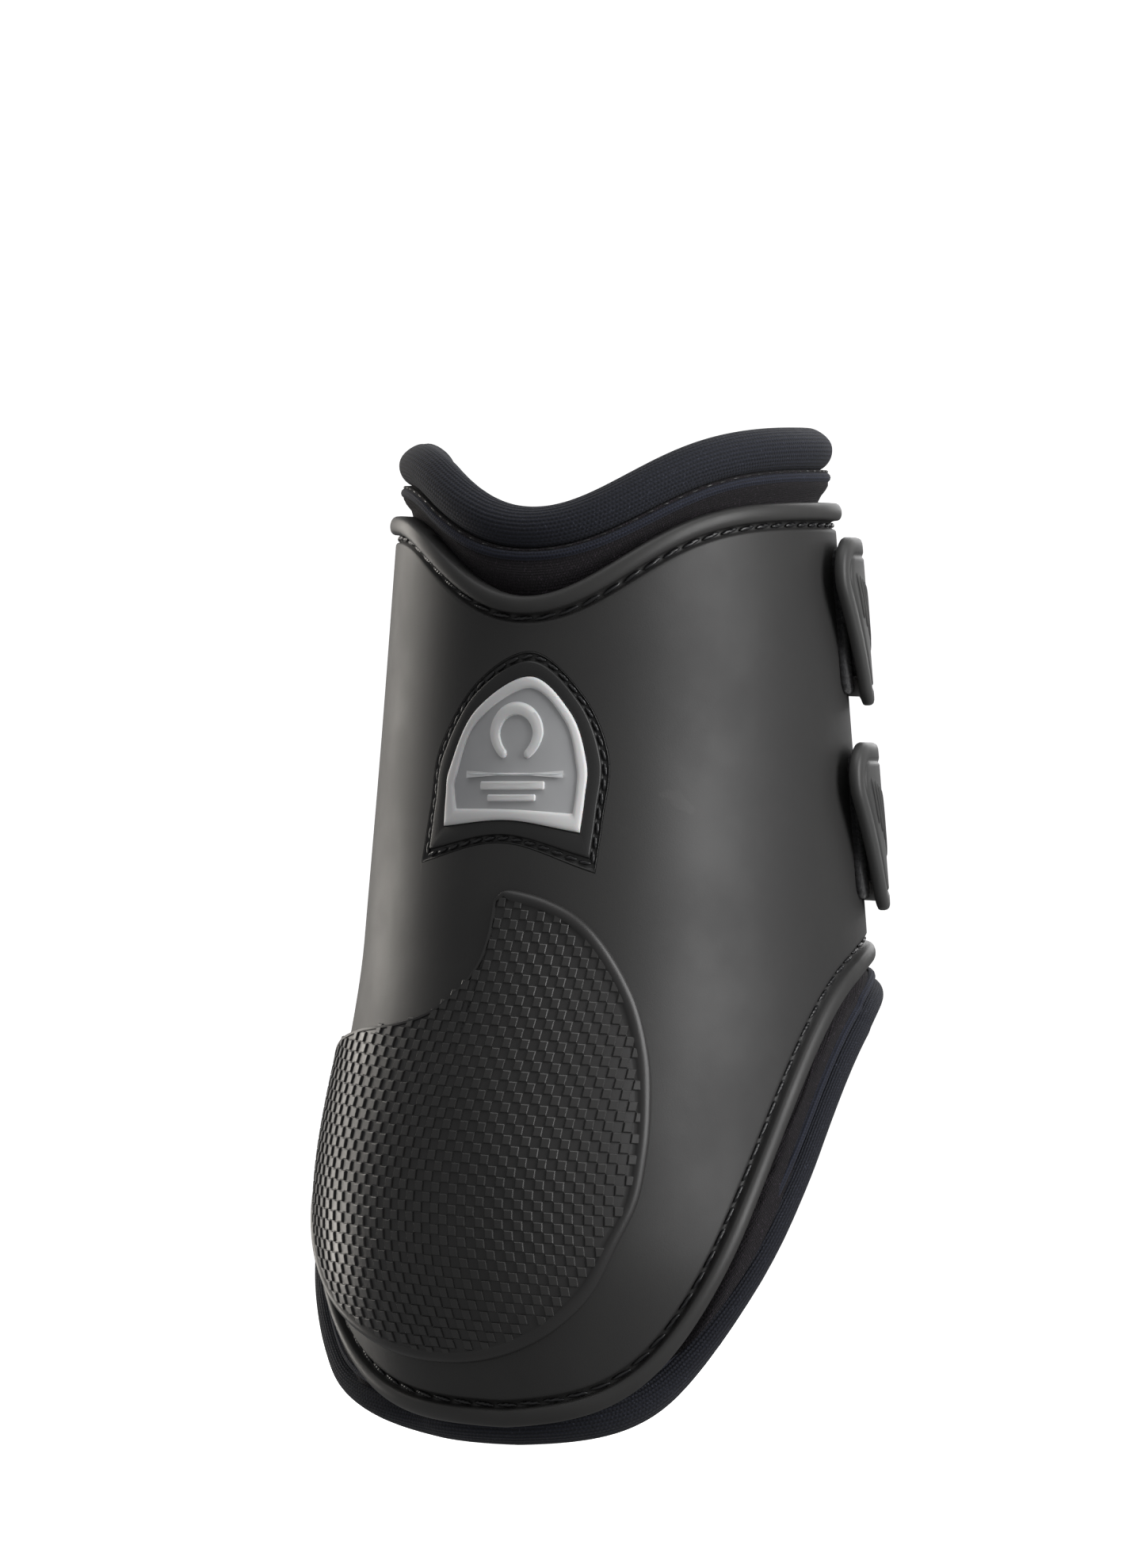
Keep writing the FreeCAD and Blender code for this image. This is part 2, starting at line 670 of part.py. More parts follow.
def add_strap(prefix, level_alias):
    level_rule = "Sizes." + level_alias
    level = size(level_alias)
    half = size("elastic_height") / 2
    thread = size("thread_radius") + BASE
    strap_tab(prefix + "_tab", level_alias)
    cone_band(prefix + "_tab_root", level_rule, "Sizes.tab_height", "Sizes.tab_offset",
              "Sizes.tab_thickness", "Sizes.tab_fold_bearing + Sizes.fold_gap",
              "Sizes.tab_root_bearing")
    cone_band(prefix + "_elastic", level_rule, "Sizes.elastic_height", "Sizes.elastic_offset",
              "Sizes.elastic_thickness", "Sizes.elastic_start_bearing",
              "Sizes.anchor_start_bearing - Sizes.swing_gap")
    cone_band(prefix + "_anchor_plate", level_rule, "Sizes.elastic_height", "%g" % ANCHOR_GAP,
              "Sizes.anchor_thickness", "Sizes.anchor_start_bearing",
              "Sizes.anchor_start_bearing + Sizes.anchor_width")
    cone_band(prefix + "_loop_patch", level_rule, "Sizes.patch_height", "%g" % BASE,
              "Sizes.patch_thickness", "Sizes.loop_start_bearing", "Sizes.loop_end_bearing")
    cone_band(prefix + "_hook_patch", level_rule, "Sizes.hook_height",
              "Sizes.tab_offset - %g - Sizes.patch_thickness" % BASE, "Sizes.patch_thickness",
              "Sizes.hook_start_bearing", "Sizes.hook_end_bearing")
    plate_top = ANCHOR_GAP + size("anchor_thickness") + thread
    add_part(prefix + "_anchor_stitches",
             box_stitches(size("anchor_start_bearing") + SEWN_MARGIN,
                          size("anchor_start_bearing") + size("anchor_width") - SEWN_MARGIN,
                          level - half + SEWN_MARGIN, level + half - SEWN_MARGIN, plate_top))
    tab_top = size("tab_offset") + size("tab_thickness") + thread
    add_part(prefix + "_tab_stitches",
             box_stitches(size("tab_fold_bearing") + SEWN_MARGIN,
                          size("tab_root_bearing") - SEWN_MARGIN,
                          level - half + SEWN_MARGIN, level + half - SEWN_MARGIN, tab_top))


# ---------------------------------------------------------------- assembly


def add_shell():
    recess = badge_prism(arch(0.0)).common(badge_layer(-size("badge_recess"), 3.0))
    add_part("outer_shell", shell_solid().cut(recess))
    add_part("strike_plate", plate_solid())


def add_badge():
    floor = -size("badge_recess") + BASE
    panel, line, rim_edge, field = 0.03, 0.2, 1.0, 1.42  # shares from the recess to the rim
    seam = 0.02
    base_top, rim_top, field_top = -0.1, 1.0, 0.5
    add_part("badge_base", badge_prism(arch(panel)).common(badge_layer(floor, base_top)))
    rim = badge_prism(arch(rim_edge)).cut(badge_prism(arch(field - seam)))
    add_part("badge_rim", rim.common(badge_layer(base_top + 0.1, rim_top)))
    add_part("badge_field", badge_prism(arch(field)).common(badge_layer(base_top + 0.1, field_top)))
    shoe = badge_prism(ring_outline(5.0, 0.9, 4.8)).cut(badge_prism(ring_outline(3.2, 0.9, 4.8)))
    shoe = shoe.cut(badge_prism(block(4.0, 4.4, 0.9, 1.2)))
    bars = [badge_prism(block(*sides)) for sides in
            ((18.0, 0.5, 0.6, -2.2), (12.0, 1.5, 0.4, -4.2), (9.0, 1.2, 0.4, -6.4))]
    relief = Part.makeCompound([shoe] + bars)
    add_part("badge_emblem", relief.common(badge_layer(field_top + 0.1, EMBLEM_FACE)))
    path = []
    for edge in outline_edges(arch(line), lambda x, z: Vector(x, z, 0)):
        path += edge.discretize(120)
    level = size("badge_level")
    depth = base_top + size("thread_radius") + BASE
    sewn = [form_point(angle_beside(size("badge_bearing"), p.x, p.y + level), p.y + level, depth)
            for p in path]
    add_part("badge_stitches", stitch_row(sewn, size("badge_pitch"), size("badge_stitch")))


def add_edge_stitches():
    middle = size("bead_width") + size("groove_width") / 2
    depth = -size("groove_depth") + size("thread_radius") + 0.12
    angles = spread(-size("shell_inner_angle") + 4, size("shell_outer_angle") - 4, 1600)
    for name, edge, shift in (("shell_top_stitches", shell_top, inside_top),
                              ("shell_hem_stitches", shell_hem, inside_hem)):
        path = [form_point(a, shift(edge, a, middle), depth) for a in angles]
        add_part(name, stitch_row(path, size("stitch_pitch"), size("stitch_length")))


def add_padding():
    first = -size("shell_inner_angle") - size("liner_overhang")
    last = size("shell_outer_angle") + size("liner_overhang")
    angles = spread(first, last, 65)
    face = -size("shell_thickness") - size("bond_gap")
    back = face - size("liner_thickness")
    roll = size("roll_height")
    cord = size("piping_radius")
    gap = roll + size("piping_tuck")

    def liner_low(a):
        return inside_hem(roll_hem, a, gap)

    def liner_high(a):
        return inside_top(roll_top, a, gap)

    def binding_low(a):
        return inside_hem(roll_hem, a, gap + 2 * cord)

    def binding_high(a):
        return inside_top(roll_top, a, gap + 2 * cord)
    add_part("neoprene_liner",
             curved_brick(angles, liner_low, liner_high, flat(face), flat(back), rows=15))
    for name, start in (("front_binding_lateral", last + BINDING_GAP),
                        ("front_binding_medial", first - BINDING_GAP - size("binding_angle"))):
        add_part(name, curved_brick(spread(start, start + size("binding_angle"), 4), binding_low,
                                    binding_high, flat(face + BINDING_LAP),
                                    flat(back - BINDING_LAP), rows=15))
    width, tall = size("roll_width") / 2, roll / 2

    def free(a):
        """0 where the hem roll is tucked under the shell, 1 where it stands free."""
        return smooth_step(side_angle(a), 46, 76)

    def hem_roll_depth(a):
        return face - width - 2 * BASE + (width + HEM_ROLL_SHIFT) * free(a)

    def hem_piping_depth(a):
        return face + (cord + BASE * 2) * (2 * free(a) - 1)

    def hem_piping_rise(a):
        return roll - cord * 0.2 + size("piping_tuck") * free(a)
    ends = spread(first - ROLL_OVERHANG, last + ROLL_OVERHANG, 65)
    add_part("hem_roll", edge_tube(ends, roll_hem, flat_line(tall), hem_roll_depth, width, tall, 1))
    add_part("top_roll", edge_tube(ends, roll_top, flat_line(tall), flat_line(TOP_ROLL_DEPTH),
                                   width, tall, -1))
    add_part("hem_piping", edge_tube(ends, roll_hem, hem_piping_rise, hem_piping_depth,
                                     cord, cord, 1))
    add_part("top_piping", edge_tube(ends, roll_top, flat_line(gap - BASE), flat_line(face + cord
                                     + BASE * 2), cord, cord, -1))
    inner = back - BASE * 2
    depth = inner - size("pad_thickness")
    low = HEIGHT * PAD_FOOT
    for prefix in ("fetlock", "tendon"):
        reach = size(prefix + "_pad_half_angle")
        high = low + size(prefix + "_pad_height")
        add_part(prefix + "_gel_pad", curved_brick(spread(-reach, reach, 25), flat_line(low),
                                                   flat_line(high), flat(inner), flat(depth)))
        low = high + size("pad_spacing")


def check_document():
    doc.recompute()
    for item in doc.Objects:
        if any(flag in item.State for flag in ("Invalid", "Error")):
            raise RuntimeError("%s did not recompute" % item.Label)


def write_parts():
    os.makedirs("parts", exist_ok=True)
    items = [o for o in doc.Objects
             if o.TypeId in ("PartDesign::Body", "Part::Feature") and o.Label == o.Name]
    for item in items:
        shape = item.Shape
        if shape.isNull() or not shape.isValid() or not shape.Solids:
            raise RuntimeError("%s has no valid solid" % item.Label)
    for item in items:
        item.Shape.exportStep("parts/%s.step" % item.Label)
        box = item.Shape.BoundBox
        print("%-24s %2d solids %9.1f mm3  x %6.1f %6.1f  y %6.1f %6.1f  z %6.1f %6.1f"
              % (item.Label, len(item.Shape.Solids), item.Shape.Volume,
                 box.XMin, box.XMax, box.YMin, box.YMax, box.ZMin, box.ZMax))


add_shell()
add_badge()
add_edge_stitches()
add_padding()
add_strap("upper", "upper_strap_level")
add_strap("lower", "lower_strap_level")
check_document()
write_parts()
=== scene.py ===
# %% [markdown]
# # A right hind fetlock boot
# The boot is a moulded strike shell round the back of the leg, with a foam and
# knit padding that shows above and below it, and two tab straps that close it.
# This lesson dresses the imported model: the frame gives every place in metres,
# and each piece is made as its own object that rides on one body of the frame.

# %% Load the frame
import json
import math

import bpy
import numpy as np
from mathutils import Matrix, Vector

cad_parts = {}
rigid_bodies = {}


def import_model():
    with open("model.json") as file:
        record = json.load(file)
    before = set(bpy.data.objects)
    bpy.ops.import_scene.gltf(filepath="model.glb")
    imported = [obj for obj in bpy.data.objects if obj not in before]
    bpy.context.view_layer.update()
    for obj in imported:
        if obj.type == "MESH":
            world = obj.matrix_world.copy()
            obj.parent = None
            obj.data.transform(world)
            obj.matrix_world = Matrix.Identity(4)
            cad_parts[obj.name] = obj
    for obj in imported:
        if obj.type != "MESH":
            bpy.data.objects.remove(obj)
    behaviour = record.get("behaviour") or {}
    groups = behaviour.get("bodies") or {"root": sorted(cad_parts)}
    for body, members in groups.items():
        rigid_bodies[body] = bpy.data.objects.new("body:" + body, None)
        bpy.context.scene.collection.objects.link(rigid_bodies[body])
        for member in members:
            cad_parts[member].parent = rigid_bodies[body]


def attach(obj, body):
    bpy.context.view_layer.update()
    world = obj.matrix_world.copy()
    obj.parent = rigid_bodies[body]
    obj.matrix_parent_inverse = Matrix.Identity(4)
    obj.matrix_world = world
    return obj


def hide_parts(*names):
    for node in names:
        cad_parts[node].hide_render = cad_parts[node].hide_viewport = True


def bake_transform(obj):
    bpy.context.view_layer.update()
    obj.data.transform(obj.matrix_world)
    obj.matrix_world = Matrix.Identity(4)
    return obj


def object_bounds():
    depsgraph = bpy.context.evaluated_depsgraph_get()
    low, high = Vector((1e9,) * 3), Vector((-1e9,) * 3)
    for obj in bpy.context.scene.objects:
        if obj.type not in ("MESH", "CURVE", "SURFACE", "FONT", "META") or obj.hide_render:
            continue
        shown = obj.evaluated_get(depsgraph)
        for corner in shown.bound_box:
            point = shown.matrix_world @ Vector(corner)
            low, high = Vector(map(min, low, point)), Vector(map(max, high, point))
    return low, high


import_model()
cad_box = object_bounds()
HEIGHT = 182.0  # mm, lowest point of the hem to the top of the top roll
MM = 0.001
SHELL_WALL = 2.5

# %% [markdown]
# ## The leg form
# Everything on this boot follows the leg, so the leg comes first. It is a cone
# over the cannon bone that swells to the fetlock, deeper to the back than to the
# sides. It could be sculpted, or lofted through rings. A formula is used, because
# the shell, the padding and the badge all have to lie on exactly the same
# surface, each at its own depth.

# %% Smooth lines through a few levels
def smooth_step(value, low, high):
    t = np.clip((value - low) / (high - low), 0.0, 1.0)
    return t * t * (3 - 2 * t)


def cone_radius(z):
    return 41.4 + 0.077 * (129.948 - z)


def level_line(stations):
    """Smooth line through (height, value) stations that never overshoots them."""
    xs, ys = (np.array(column, float) for column in zip(*stations))
    steps = np.diff(xs)
    rises = np.diff(ys) / steps
    slopes = [rises[0]]
    for i in range(1, len(xs) - 1):
        if rises[i - 1] * rises[i] <= 0:
            slopes.append(0.0)
        else:
            near = 2 * steps[i] + steps[i - 1]
            far = steps[i] + 2 * steps[i - 1]
            slopes.append((near + far) / (near / rises[i - 1] + far / rises[i]))
    slopes = np.array(slopes + [rises[-1]])

    def line(x):
        x = np.clip(x, xs[0], xs[-1])
        i = np.clip(np.searchsorted(xs, x, side="left") - 1, 0, len(xs) - 2)
        t = (x - xs[i]) / steps[i]
        return ((2 * t**3 - 3 * t**2 + 1) * ys[i] + (t**3 - 2 * t**2 + t) * steps[i] * slopes[i]
                + (3 * t**2 - 2 * t**3) * ys[i + 1] + (t**3 - t**2) * steps[i] * slopes[i + 1])

    return line


half_width = level_line([(0, 42.5), (38.04, 49.0), (90.0, cone_radius(90.0)),
                         (93.9, cone_radius(93.9)), (192, cone_radius(192))])
back_reach = level_line([(0, 52.0), (38.04, 62.5), (90.0, 56.0), (129.95, 51.0), (192, 47.5)])
print("half width at the fetlock: %.1f mm" % half_width(38.0))


# %% A point on the form
def form(angle, z, depth=0.0):
    """Points in metres. angle is in degrees from the back, positive to the outer side."""
    angle, z, depth = np.broadcast_arrays(np.asarray(angle, float), z, depth)
    cosine, sine = np.cos(np.radians(angle)), np.sin(np.radians(angle))
    wide = half_width(z) + depth
    deep = np.where(cosine > 0, back_reach(z), half_width(z)) + depth
    lean = 2.5 * (1 - smooth_step(z, HEIGHT * 0.22, HEIGHT * 0.495))
    return np.stack([-deep * cosine, -wide * sine + lean, z], axis=-1) * MM


print("point of the fetlock:", np.round(form(0, 38.0), 4))

# %% [markdown]
# ## Edge lines
# The shell has a low hem at the back that climbs to the sides, and a top edge
# with a dip at the back. It reaches further round on the outer side, under the
# tabs, than on the inner side. The padded rolls follow lines of their own, a
# little outside. A logistic curve gives the climb and a bell curve gives the dip,
# because both start and end level, as a moulded edge does.

# %% The four edge lines
OUTER_EDGE, INNER_EDGE = 148.0, -105.0  # front edges of the shell, degrees from the back
HEM_LOW, HEM_RISE, HEM_TURN = 3.0, HEIGHT * 0.4615, 57.0  # turn: angle halfway up, degrees
ROLL_TALL, ROLL_TURN = 8.0, 65.5
CLIMB_WIDTH, INNER_SHARE = 11.0, 0.77  # the inner side climbs later, in this proportion
TOP_GAP = 13.5  # from the top of the roll down to the shell
SHELL_DIP, SHELL_DIP_SPREAD = 17.0, 34.0
ROLL_DIP, ROLL_DIP_SPREAD = 14.5, 38.0
INNER_DROP = 2.5


def climb(angle, rise, turn):
    side = np.where(angle >= 0, angle, -angle * INNER_SHARE)
    return rise / (1 + np.exp(-(side - turn) / CLIMB_WIDTH))


def dip(angle, depth, spread):
    return depth * np.exp(-(angle / spread) ** 2)


def shell_hem(angle):
    return HEM_LOW + climb(angle, HEM_RISE, HEM_TURN)


def inner_drop(angle):
    return INNER_DROP * smooth_step(-angle, 35.0, 75.0)


def shell_top(angle):
    return HEIGHT - TOP_GAP - dip(angle, SHELL_DIP, SHELL_DIP_SPREAD) - inner_drop(angle)


def roll_hem(angle):
    return climb(angle, HEM_LOW + HEM_RISE - ROLL_TALL, ROLL_TURN)


def roll_top(angle):
    return HEIGHT - dip(angle, ROLL_DIP, ROLL_DIP_SPREAD) - inner_drop(angle)


def inside(edge, angle, distance, sign):
    """Height of a line that runs a distance inside an edge; sign is +1 for a hem, -1 for a top."""
    ahead, behind = form(angle + 0.5, edge(angle)), form(angle - 0.5, edge(angle))
    arc = np.linalg.norm(ahead - behind, axis=-1) / MM
    slope = (edge(angle + 0.5) - edge(angle - 0.5)) / arc
    return edge(angle) + sign * distance * np.sqrt(1 + slope * slope)


print("hem %.1f mm at the back, %.1f mm at the front" % (shell_hem(0.0), shell_hem(OUTER_EDGE)))

# %% [markdown]
# ## Flat grids laid on the form
# A cutter lays flat cloth on a last. The same is done here: each piece starts as
# a flat grid, and every point of the grid is moved to its place. A grid keeps
# rows and columns, so beads and seams can be rows of their own, and the flat
# sizes stay with the piece as UV in metres for its knit or weave.

# %% Start, lay and close a grid
def flat_grid(name, columns, rows):
    """Flat unit grid, columns by rows faces, as a new object."""
    bpy.ops.object.select_all(action="DESELECT")
    bpy.ops.mesh.primitive_grid_add(x_subdivisions=columns, y_subdivisions=rows, size=1,
                                    location=(0.5, 0.5, 0))
    piece = bpy.context.object
    piece.name = piece.data.name = name
    bpy.ops.object.transform_apply(location=True, rotation=True, scale=True)
    return piece


def read_points(piece):
    flat = np.empty(len(piece.data.vertices) * 3)
    piece.data.vertices.foreach_get("co", flat)
    return flat.reshape(-1, 3)


def write_points(piece, points):
    piece.data.vertices.foreach_set("co", np.asarray(points, float).ravel())
    piece.data.update()


def write_cloth(piece, across, along):
    """Flat place of each point, in metres, as the piece's UV map."""
    corner = np.empty(len(piece.data.loops), dtype=np.int32)
    piece.data.loops.foreach_get("vertex_index", corner)
    layer = piece.data.uv_layers[0] if piece.data.uv_layers else piece.data.uv_layers.new()
    layer.name = "cloth"
    layer.data.foreach_set("uv", np.stack([across[corner], along[corner]], -1).ravel())


def write_crest_highlight(piece, values):
    """How much each point is painted lighter, as a highlight on a raised crest, from 0 to 1."""
    layer = piece.data.attributes.get("rub") or piece.data.attributes.new("rub", "FLOAT", "POINT")
    layer.data.foreach_set("value", np.asarray(values, np.float32))


def close_up(piece, sharp=40.0, fill=True):
    """Merge touching points, close the ends, turn the faces outward and smooth."""
    bpy.ops.object.select_all(action="DESELECT")
    piece.select_set(True)
    bpy.context.view_layer.objects.active = piece
    bpy.ops.object.mode_set(mode="EDIT")
    bpy.ops.mesh.select_all(action="SELECT")
    bpy.ops.mesh.remove_doubles(threshold=2e-6)
    if fill:
        bpy.ops.mesh.fill_holes(sides=0)
        bpy.ops.mesh.select_all(action="SELECT")
    bpy.ops.mesh.normals_make_consistent(inside=False)
    bpy.ops.object.mode_set(mode="OBJECT")
    bpy.ops.object.shade_smooth_by_angle(angle=math.radians(sharp))
    return piece


def remove(piece):
    bpy.data.objects.remove(piece, do_unlink=True)


def apply_modifier(piece, kind, **settings):
    bpy.ops.object.select_all(action="DESELECT")
    piece.select_set(True)
    bpy.context.view_layer.objects.active = piece
    step = piece.modifiers.new(kind.title(), kind)
    for key, value in settings.items():
        setattr(step, key, value)
    bpy.ops.object.modifier_apply(modifier=step.name)


print("grid tools ready")


# %% [markdown]
# ## Strips with an edge profile
# Most pieces here are long strips whose cross-section is the interesting part: a
# bead beside a stitch groove, a folded tape. So a strip is described by its
# section, as a closed list of rows, and each row says which line it follows.

# %% Lay a closed section along the form
def lay_strip(name, angles, rows, end_round=0.0, middle=0.0):
    """rows are (height line, depth line) functions of the angle, the last joining the first."""
    columns, count = len(angles) - 1, len(rows)
    piece = flat_grid(name, columns, count)
    grid = read_points(piece)
    column = np.rint(grid[:, 0] * columns).astype(int)
    row = np.rint(grid[:, 1] * count).astype(int) % count
    heights = np.array([np.broadcast_to(line(angles), angles.shape) for line, _ in rows])
    depths = np.array([np.broadcast_to(depth(angles), angles.shape) for _, depth in rows])
    if end_round:
        start = np.minimum(angles - angles[0], angles[-1] - angles)
        share = np.clip(start / end_round, 0, 1)
        depths = middle + (depths - middle) * np.sqrt(1 - (1 - share) ** 2 * 0.88)
    write_points(piece, form(angles[column], heights[row, column], depths[row, column]))
    arc = np.linalg.norm(np.diff(form(angles, heights[0]), axis=0), axis=1)
    along = np.concatenate([[0], np.cumsum(arc)])
    step = np.hypot(np.diff(heights[:, columns // 2]), np.diff(depths[:, columns // 2]))
    around = np.concatenate([[0], np.cumsum(step)]) * MM
    across = np.where(grid[:, 1] > 0.999, around[-1], around[row])
    write_cloth(piece, along[column], across)
    return piece, row


def even_angles(beyond, count, crowd=0.0):
    """Angles between the front edges and a little beyond; crowd adds columns near both ends."""
    first, last = INNER_EDGE - beyond, OUTER_EDGE + beyond
    t = np.linspace(-1, 1, count)
    return (first + last) / 2 + (last - first) / 2 * (t + crowd * np.sin(t * math.pi) / math.pi)


# %% [markdown]
# ## Strike shell
# The shell is one moulding, about 2.5 mm thick. Its edge is a round bead that
# stiffens it, with a groove just inside where the padding is sewn on. The bead
# could be a swept curve joined to a sheet, but in the moulding it flows into the
# wall, so it is made as rows of the same grid.

# %% Section of the shell
SEAM_DISTANCE = 4.0  # from the shell's edge to the bottom of its stitch groove


def bead_rows():
    """(distance from the edge, depth) from the edge across the bead and the groove."""
    rows = []
    for turn in np.linspace(math.pi, 0, 13):
        rows.append((1.6 + 1.6 * math.cos(turn), 1.3 * math.sin(turn) ** 0.75))
    rows[0], rows[-1] = (0.0, -0.25), (3.2, -0.15)
    rows += [(3.36, -0.62), (3.6, -0.86), (4.0, -0.9), (4.4, -0.86), (4.64, -0.6), (4.82, -0.16),
             (5.05, -0.02), (5.5, 0.0)]
    return rows


def hem_line(distance):
    return lambda angle: inside(shell_hem, angle, distance, 1)


def top_line(distance):
    return lambda angle: inside(shell_top, angle, distance, -1)


def between(share, low, high):
    return lambda angle: low(angle) * (1 - share) + high(angle) * share


def level_depth(value):
    return lambda angle: value


def shell_rows():
    rows = [(hem_line(0.5), level_depth(-SHELL_WALL)), (hem_line(0.1), level_depth(-2.2))]
    rows += [(hem_line(d), level_depth(h)) for d, h in bead_rows()]
    low, high = hem_line(5.5), top_line(5.5)
    rows += [(between(s, low, high), level_depth(0.0)) for s in np.linspace(0, 1, 50)[1:-1]]
    rows += [(top_line(d), level_depth(h)) for d, h in reversed(bead_rows())]
    rows += [(top_line(0.1), level_depth(-2.2)), (top_line(0.5), level_depth(-SHELL_WALL))]
    rows += [(between(s, hem_line(0.5), top_line(0.5)), level_depth(-SHELL_WALL))
             for s in np.linspace(1, 0, 26)[1:-1]]
    return rows


# %% Lay the shell
shell_angles = even_angles(0.0, 261, crowd=0.25)
strike_shell, shell_row = lay_strip("strike_shell", shell_angles, shell_rows(), end_round=1.6,
                                    middle=-SHELL_WALL / 2)
bead_height = np.array([depth(0.0) for _, depth in shell_rows()])
# The bead crests get the painted highlight, in proportion to their height.
write_crest_highlight(strike_shell, np.clip(bead_height / 1.3, 0, 1)[shell_row])
close_up(strike_shell, 50)
print("strike shell:", len(strike_shell.data.polygons), "faces")

# %% [markdown]
# ## Badge recess
# The badge sits in an arch-shaped recess with flared feet. On the boot the mould
# makes it. Here a block of the same outline is laid on the form and cut away.
# The gap between the recess and the rim is wider at the feet, so two outlines are
# drawn, the recess edge and the rim edge, and every ring of the badge is a share
# of the way from one to the other.

# %% Outlines and rings
def smooth_run(points, steps):
    """Points along a smooth line through the given ones, without the last."""
    points = np.array(points, float)
    before = np.vstack([2 * points[0] - points[1], points[:-1]])
    after = np.vstack([points[1:], 2 * points[-1] - points[-2]])
    tangent = (after - before) / 2
    t = (np.arange(steps) / steps)[:, None]
    runs = []
    for i in range(len(points) - 1):
        runs.append((2 * t**3 - 3 * t**2 + 1) * points[i] + (t**3 - 2 * t**2 + t) * tangent[i]
                    + (3 * t**2 - 2 * t**3) * points[i + 1] + (t**3 - t**2) * tangent[i + 1])
    return np.vstack(runs)


RECESS_LINE = np.array([(15.7, -19.9), (16.5, -10.2), (17.0, 0.9), (12.4, 12.0), (3.2, 19.7),
                        (-7.8, 14.1), (-15.6, 2.6), (-17.2, -7.4), (-18.8, -18.0), (-1.2, -14.5)])
RIM_LINE = np.array([(12.7, -12.3), (13.2, -6.2), (13.2, -0.2), (10.3, 8.6), (3.0, 15.0),
                     (-7.4, 8.9), (-12.3, -1.1), (-12.9, -5.9), (-13.0, -11.1), (0.1, -10.2)])


def badge_outline(share):
    """Flat arch (sideways, up): the recess edge at 0, the rim at 1, further in beyond."""
    points = RECESS_LINE + (RIM_LINE - RECESS_LINE) * share
    return np.vstack([smooth_run(points[:9], 16),
                      smooth_run([points[8], points[9], points[0]], 16)])


def move_inward(outline, distance):
    """Closed outline (counter-clockwise) with every side moved inward by a distance."""
    ahead = np.roll(outline, -1, 0) - outline
    ahead /= np.linalg.norm(ahead, axis=1, keepdims=True)
    side = np.stack([-ahead[:, 1], ahead[:, 0]], -1)
    mitre = side + np.roll(side, 1, 0)
    mitre /= np.linalg.norm(mitre, axis=1, keepdims=True)
    reach = np.clip(np.sum(mitre * side, 1), 0.35, 1)
    return outline + mitre * (distance / reach)[:, None]


print("badge outline:", len(badge_outline(0.0)), "points")


# %% Lay rings on the form
def angle_beside(bearing, sideways, z):
    """Angle where the form lies a distance sideways of a bearing."""
    turn = math.radians(bearing)
    right = np.array([math.sin(turn), -math.cos(turn)])
    low = np.full(np.shape(sideways), bearing - 88.0)
    high = np.full(np.shape(sideways), bearing + 88.0)
    for _ in range(26):
        middle = (low + high) / 2
        short = form(middle, z)[..., :2] @ right < sideways * MM
        low, high = np.where(short, middle, low), np.where(short, high, middle)
    return low


def on_form(bearing, level):
    """Laying rule for a flat pattern (sideways, upward, depth) centred at a bearing and a level."""
    def place(x, y, depth):
        z = y + level
        return form(angle_beside(bearing, x, z), z, depth)
    return place


def ring_piece(name, ring_at, rings, place, centre=(0.0, 0.0), fill_in=8, sharp=40.0):
    """Closed piece made of rings, each (distance inward, depth), with both ends filled.

    ring_at gives the ring at a distance, or is an outline to be moved inward."""
    if not callable(ring_at):
        outline = ring_at

        def ring_at(distance):
            return move_inward(outline, distance)
    middle = np.array(centre)
    count = len(ring_at(rings[0][0]))

    def closing(distance, depth):
        shares = np.linspace(0, 1, fill_in + 1)[:-1]
        return [(middle + (ring_at(distance) - middle) * max(s, 1e-4), depth) for s in shares]
    levels = closing(*rings[0]) + [(ring_at(d), h) for d, h in rings] + closing(*rings[-1])[::-1]
    piece = flat_grid(name, count, len(levels) - 1)
    grid = read_points(piece)
    column = np.rint(grid[:, 0] * count).astype(int) % count
    row = np.rint(grid[:, 1] * (len(levels) - 1)).astype(int)
    flat = np.array([level for level, _ in levels])[row, column]
    depth = np.array([np.broadcast_to(h, (count,)) for _, h in levels])[row, column]
    write_points(piece, place(flat[:, 0], flat[:, 1], depth))
    write_cloth(piece, flat[:, 0] * MM, flat[:, 1] * MM)
    write_crest_highlight(piece, np.zeros(len(grid)))
    close_up(piece, sharp)
    return piece


BADGE_BEARING, BADGE_LEVEL = -2.0, HEIGHT * 0.670
badge_place = on_form(BADGE_BEARING, BADGE_LEVEL)
recess_block = ring_piece("recess_block", badge_outline, [(0.0, -0.8), (0.0, 3.0)], badge_place,
                          fill_in=10)
uncut = strike_shell.copy()
uncut.data = strike_shell.data.copy()
bpy.context.collection.objects.link(uncut)
apply_modifier(strike_shell, "BOOLEAN", operation="DIFFERENCE", object=recess_block,
               solver="EXACT")
apply_modifier(strike_shell, "DATA_TRANSFER", object=uncut, use_loop_data=True,
               data_types_loops={"CUSTOM_NORMAL"}, loop_mapping="POLYINTERP_NEAREST")
remove(recess_block)
remove(uncut)
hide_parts("outer_shell")
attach(strike_shell, "boot")
print("strike shell with its recess:", len(strike_shell.data.polygons), "faces")

# %% [markdown]
# ## Badge
# The badge is moulded on its own and sewn into the recess. From the outside it
# goes: a thin lip, a low channel that holds the stitches, a raised dark panel, a
# rounded pale rim, a grey field. A printed disc would be quicker, but the rims
# catch the light, so each step is a ring with its own height.

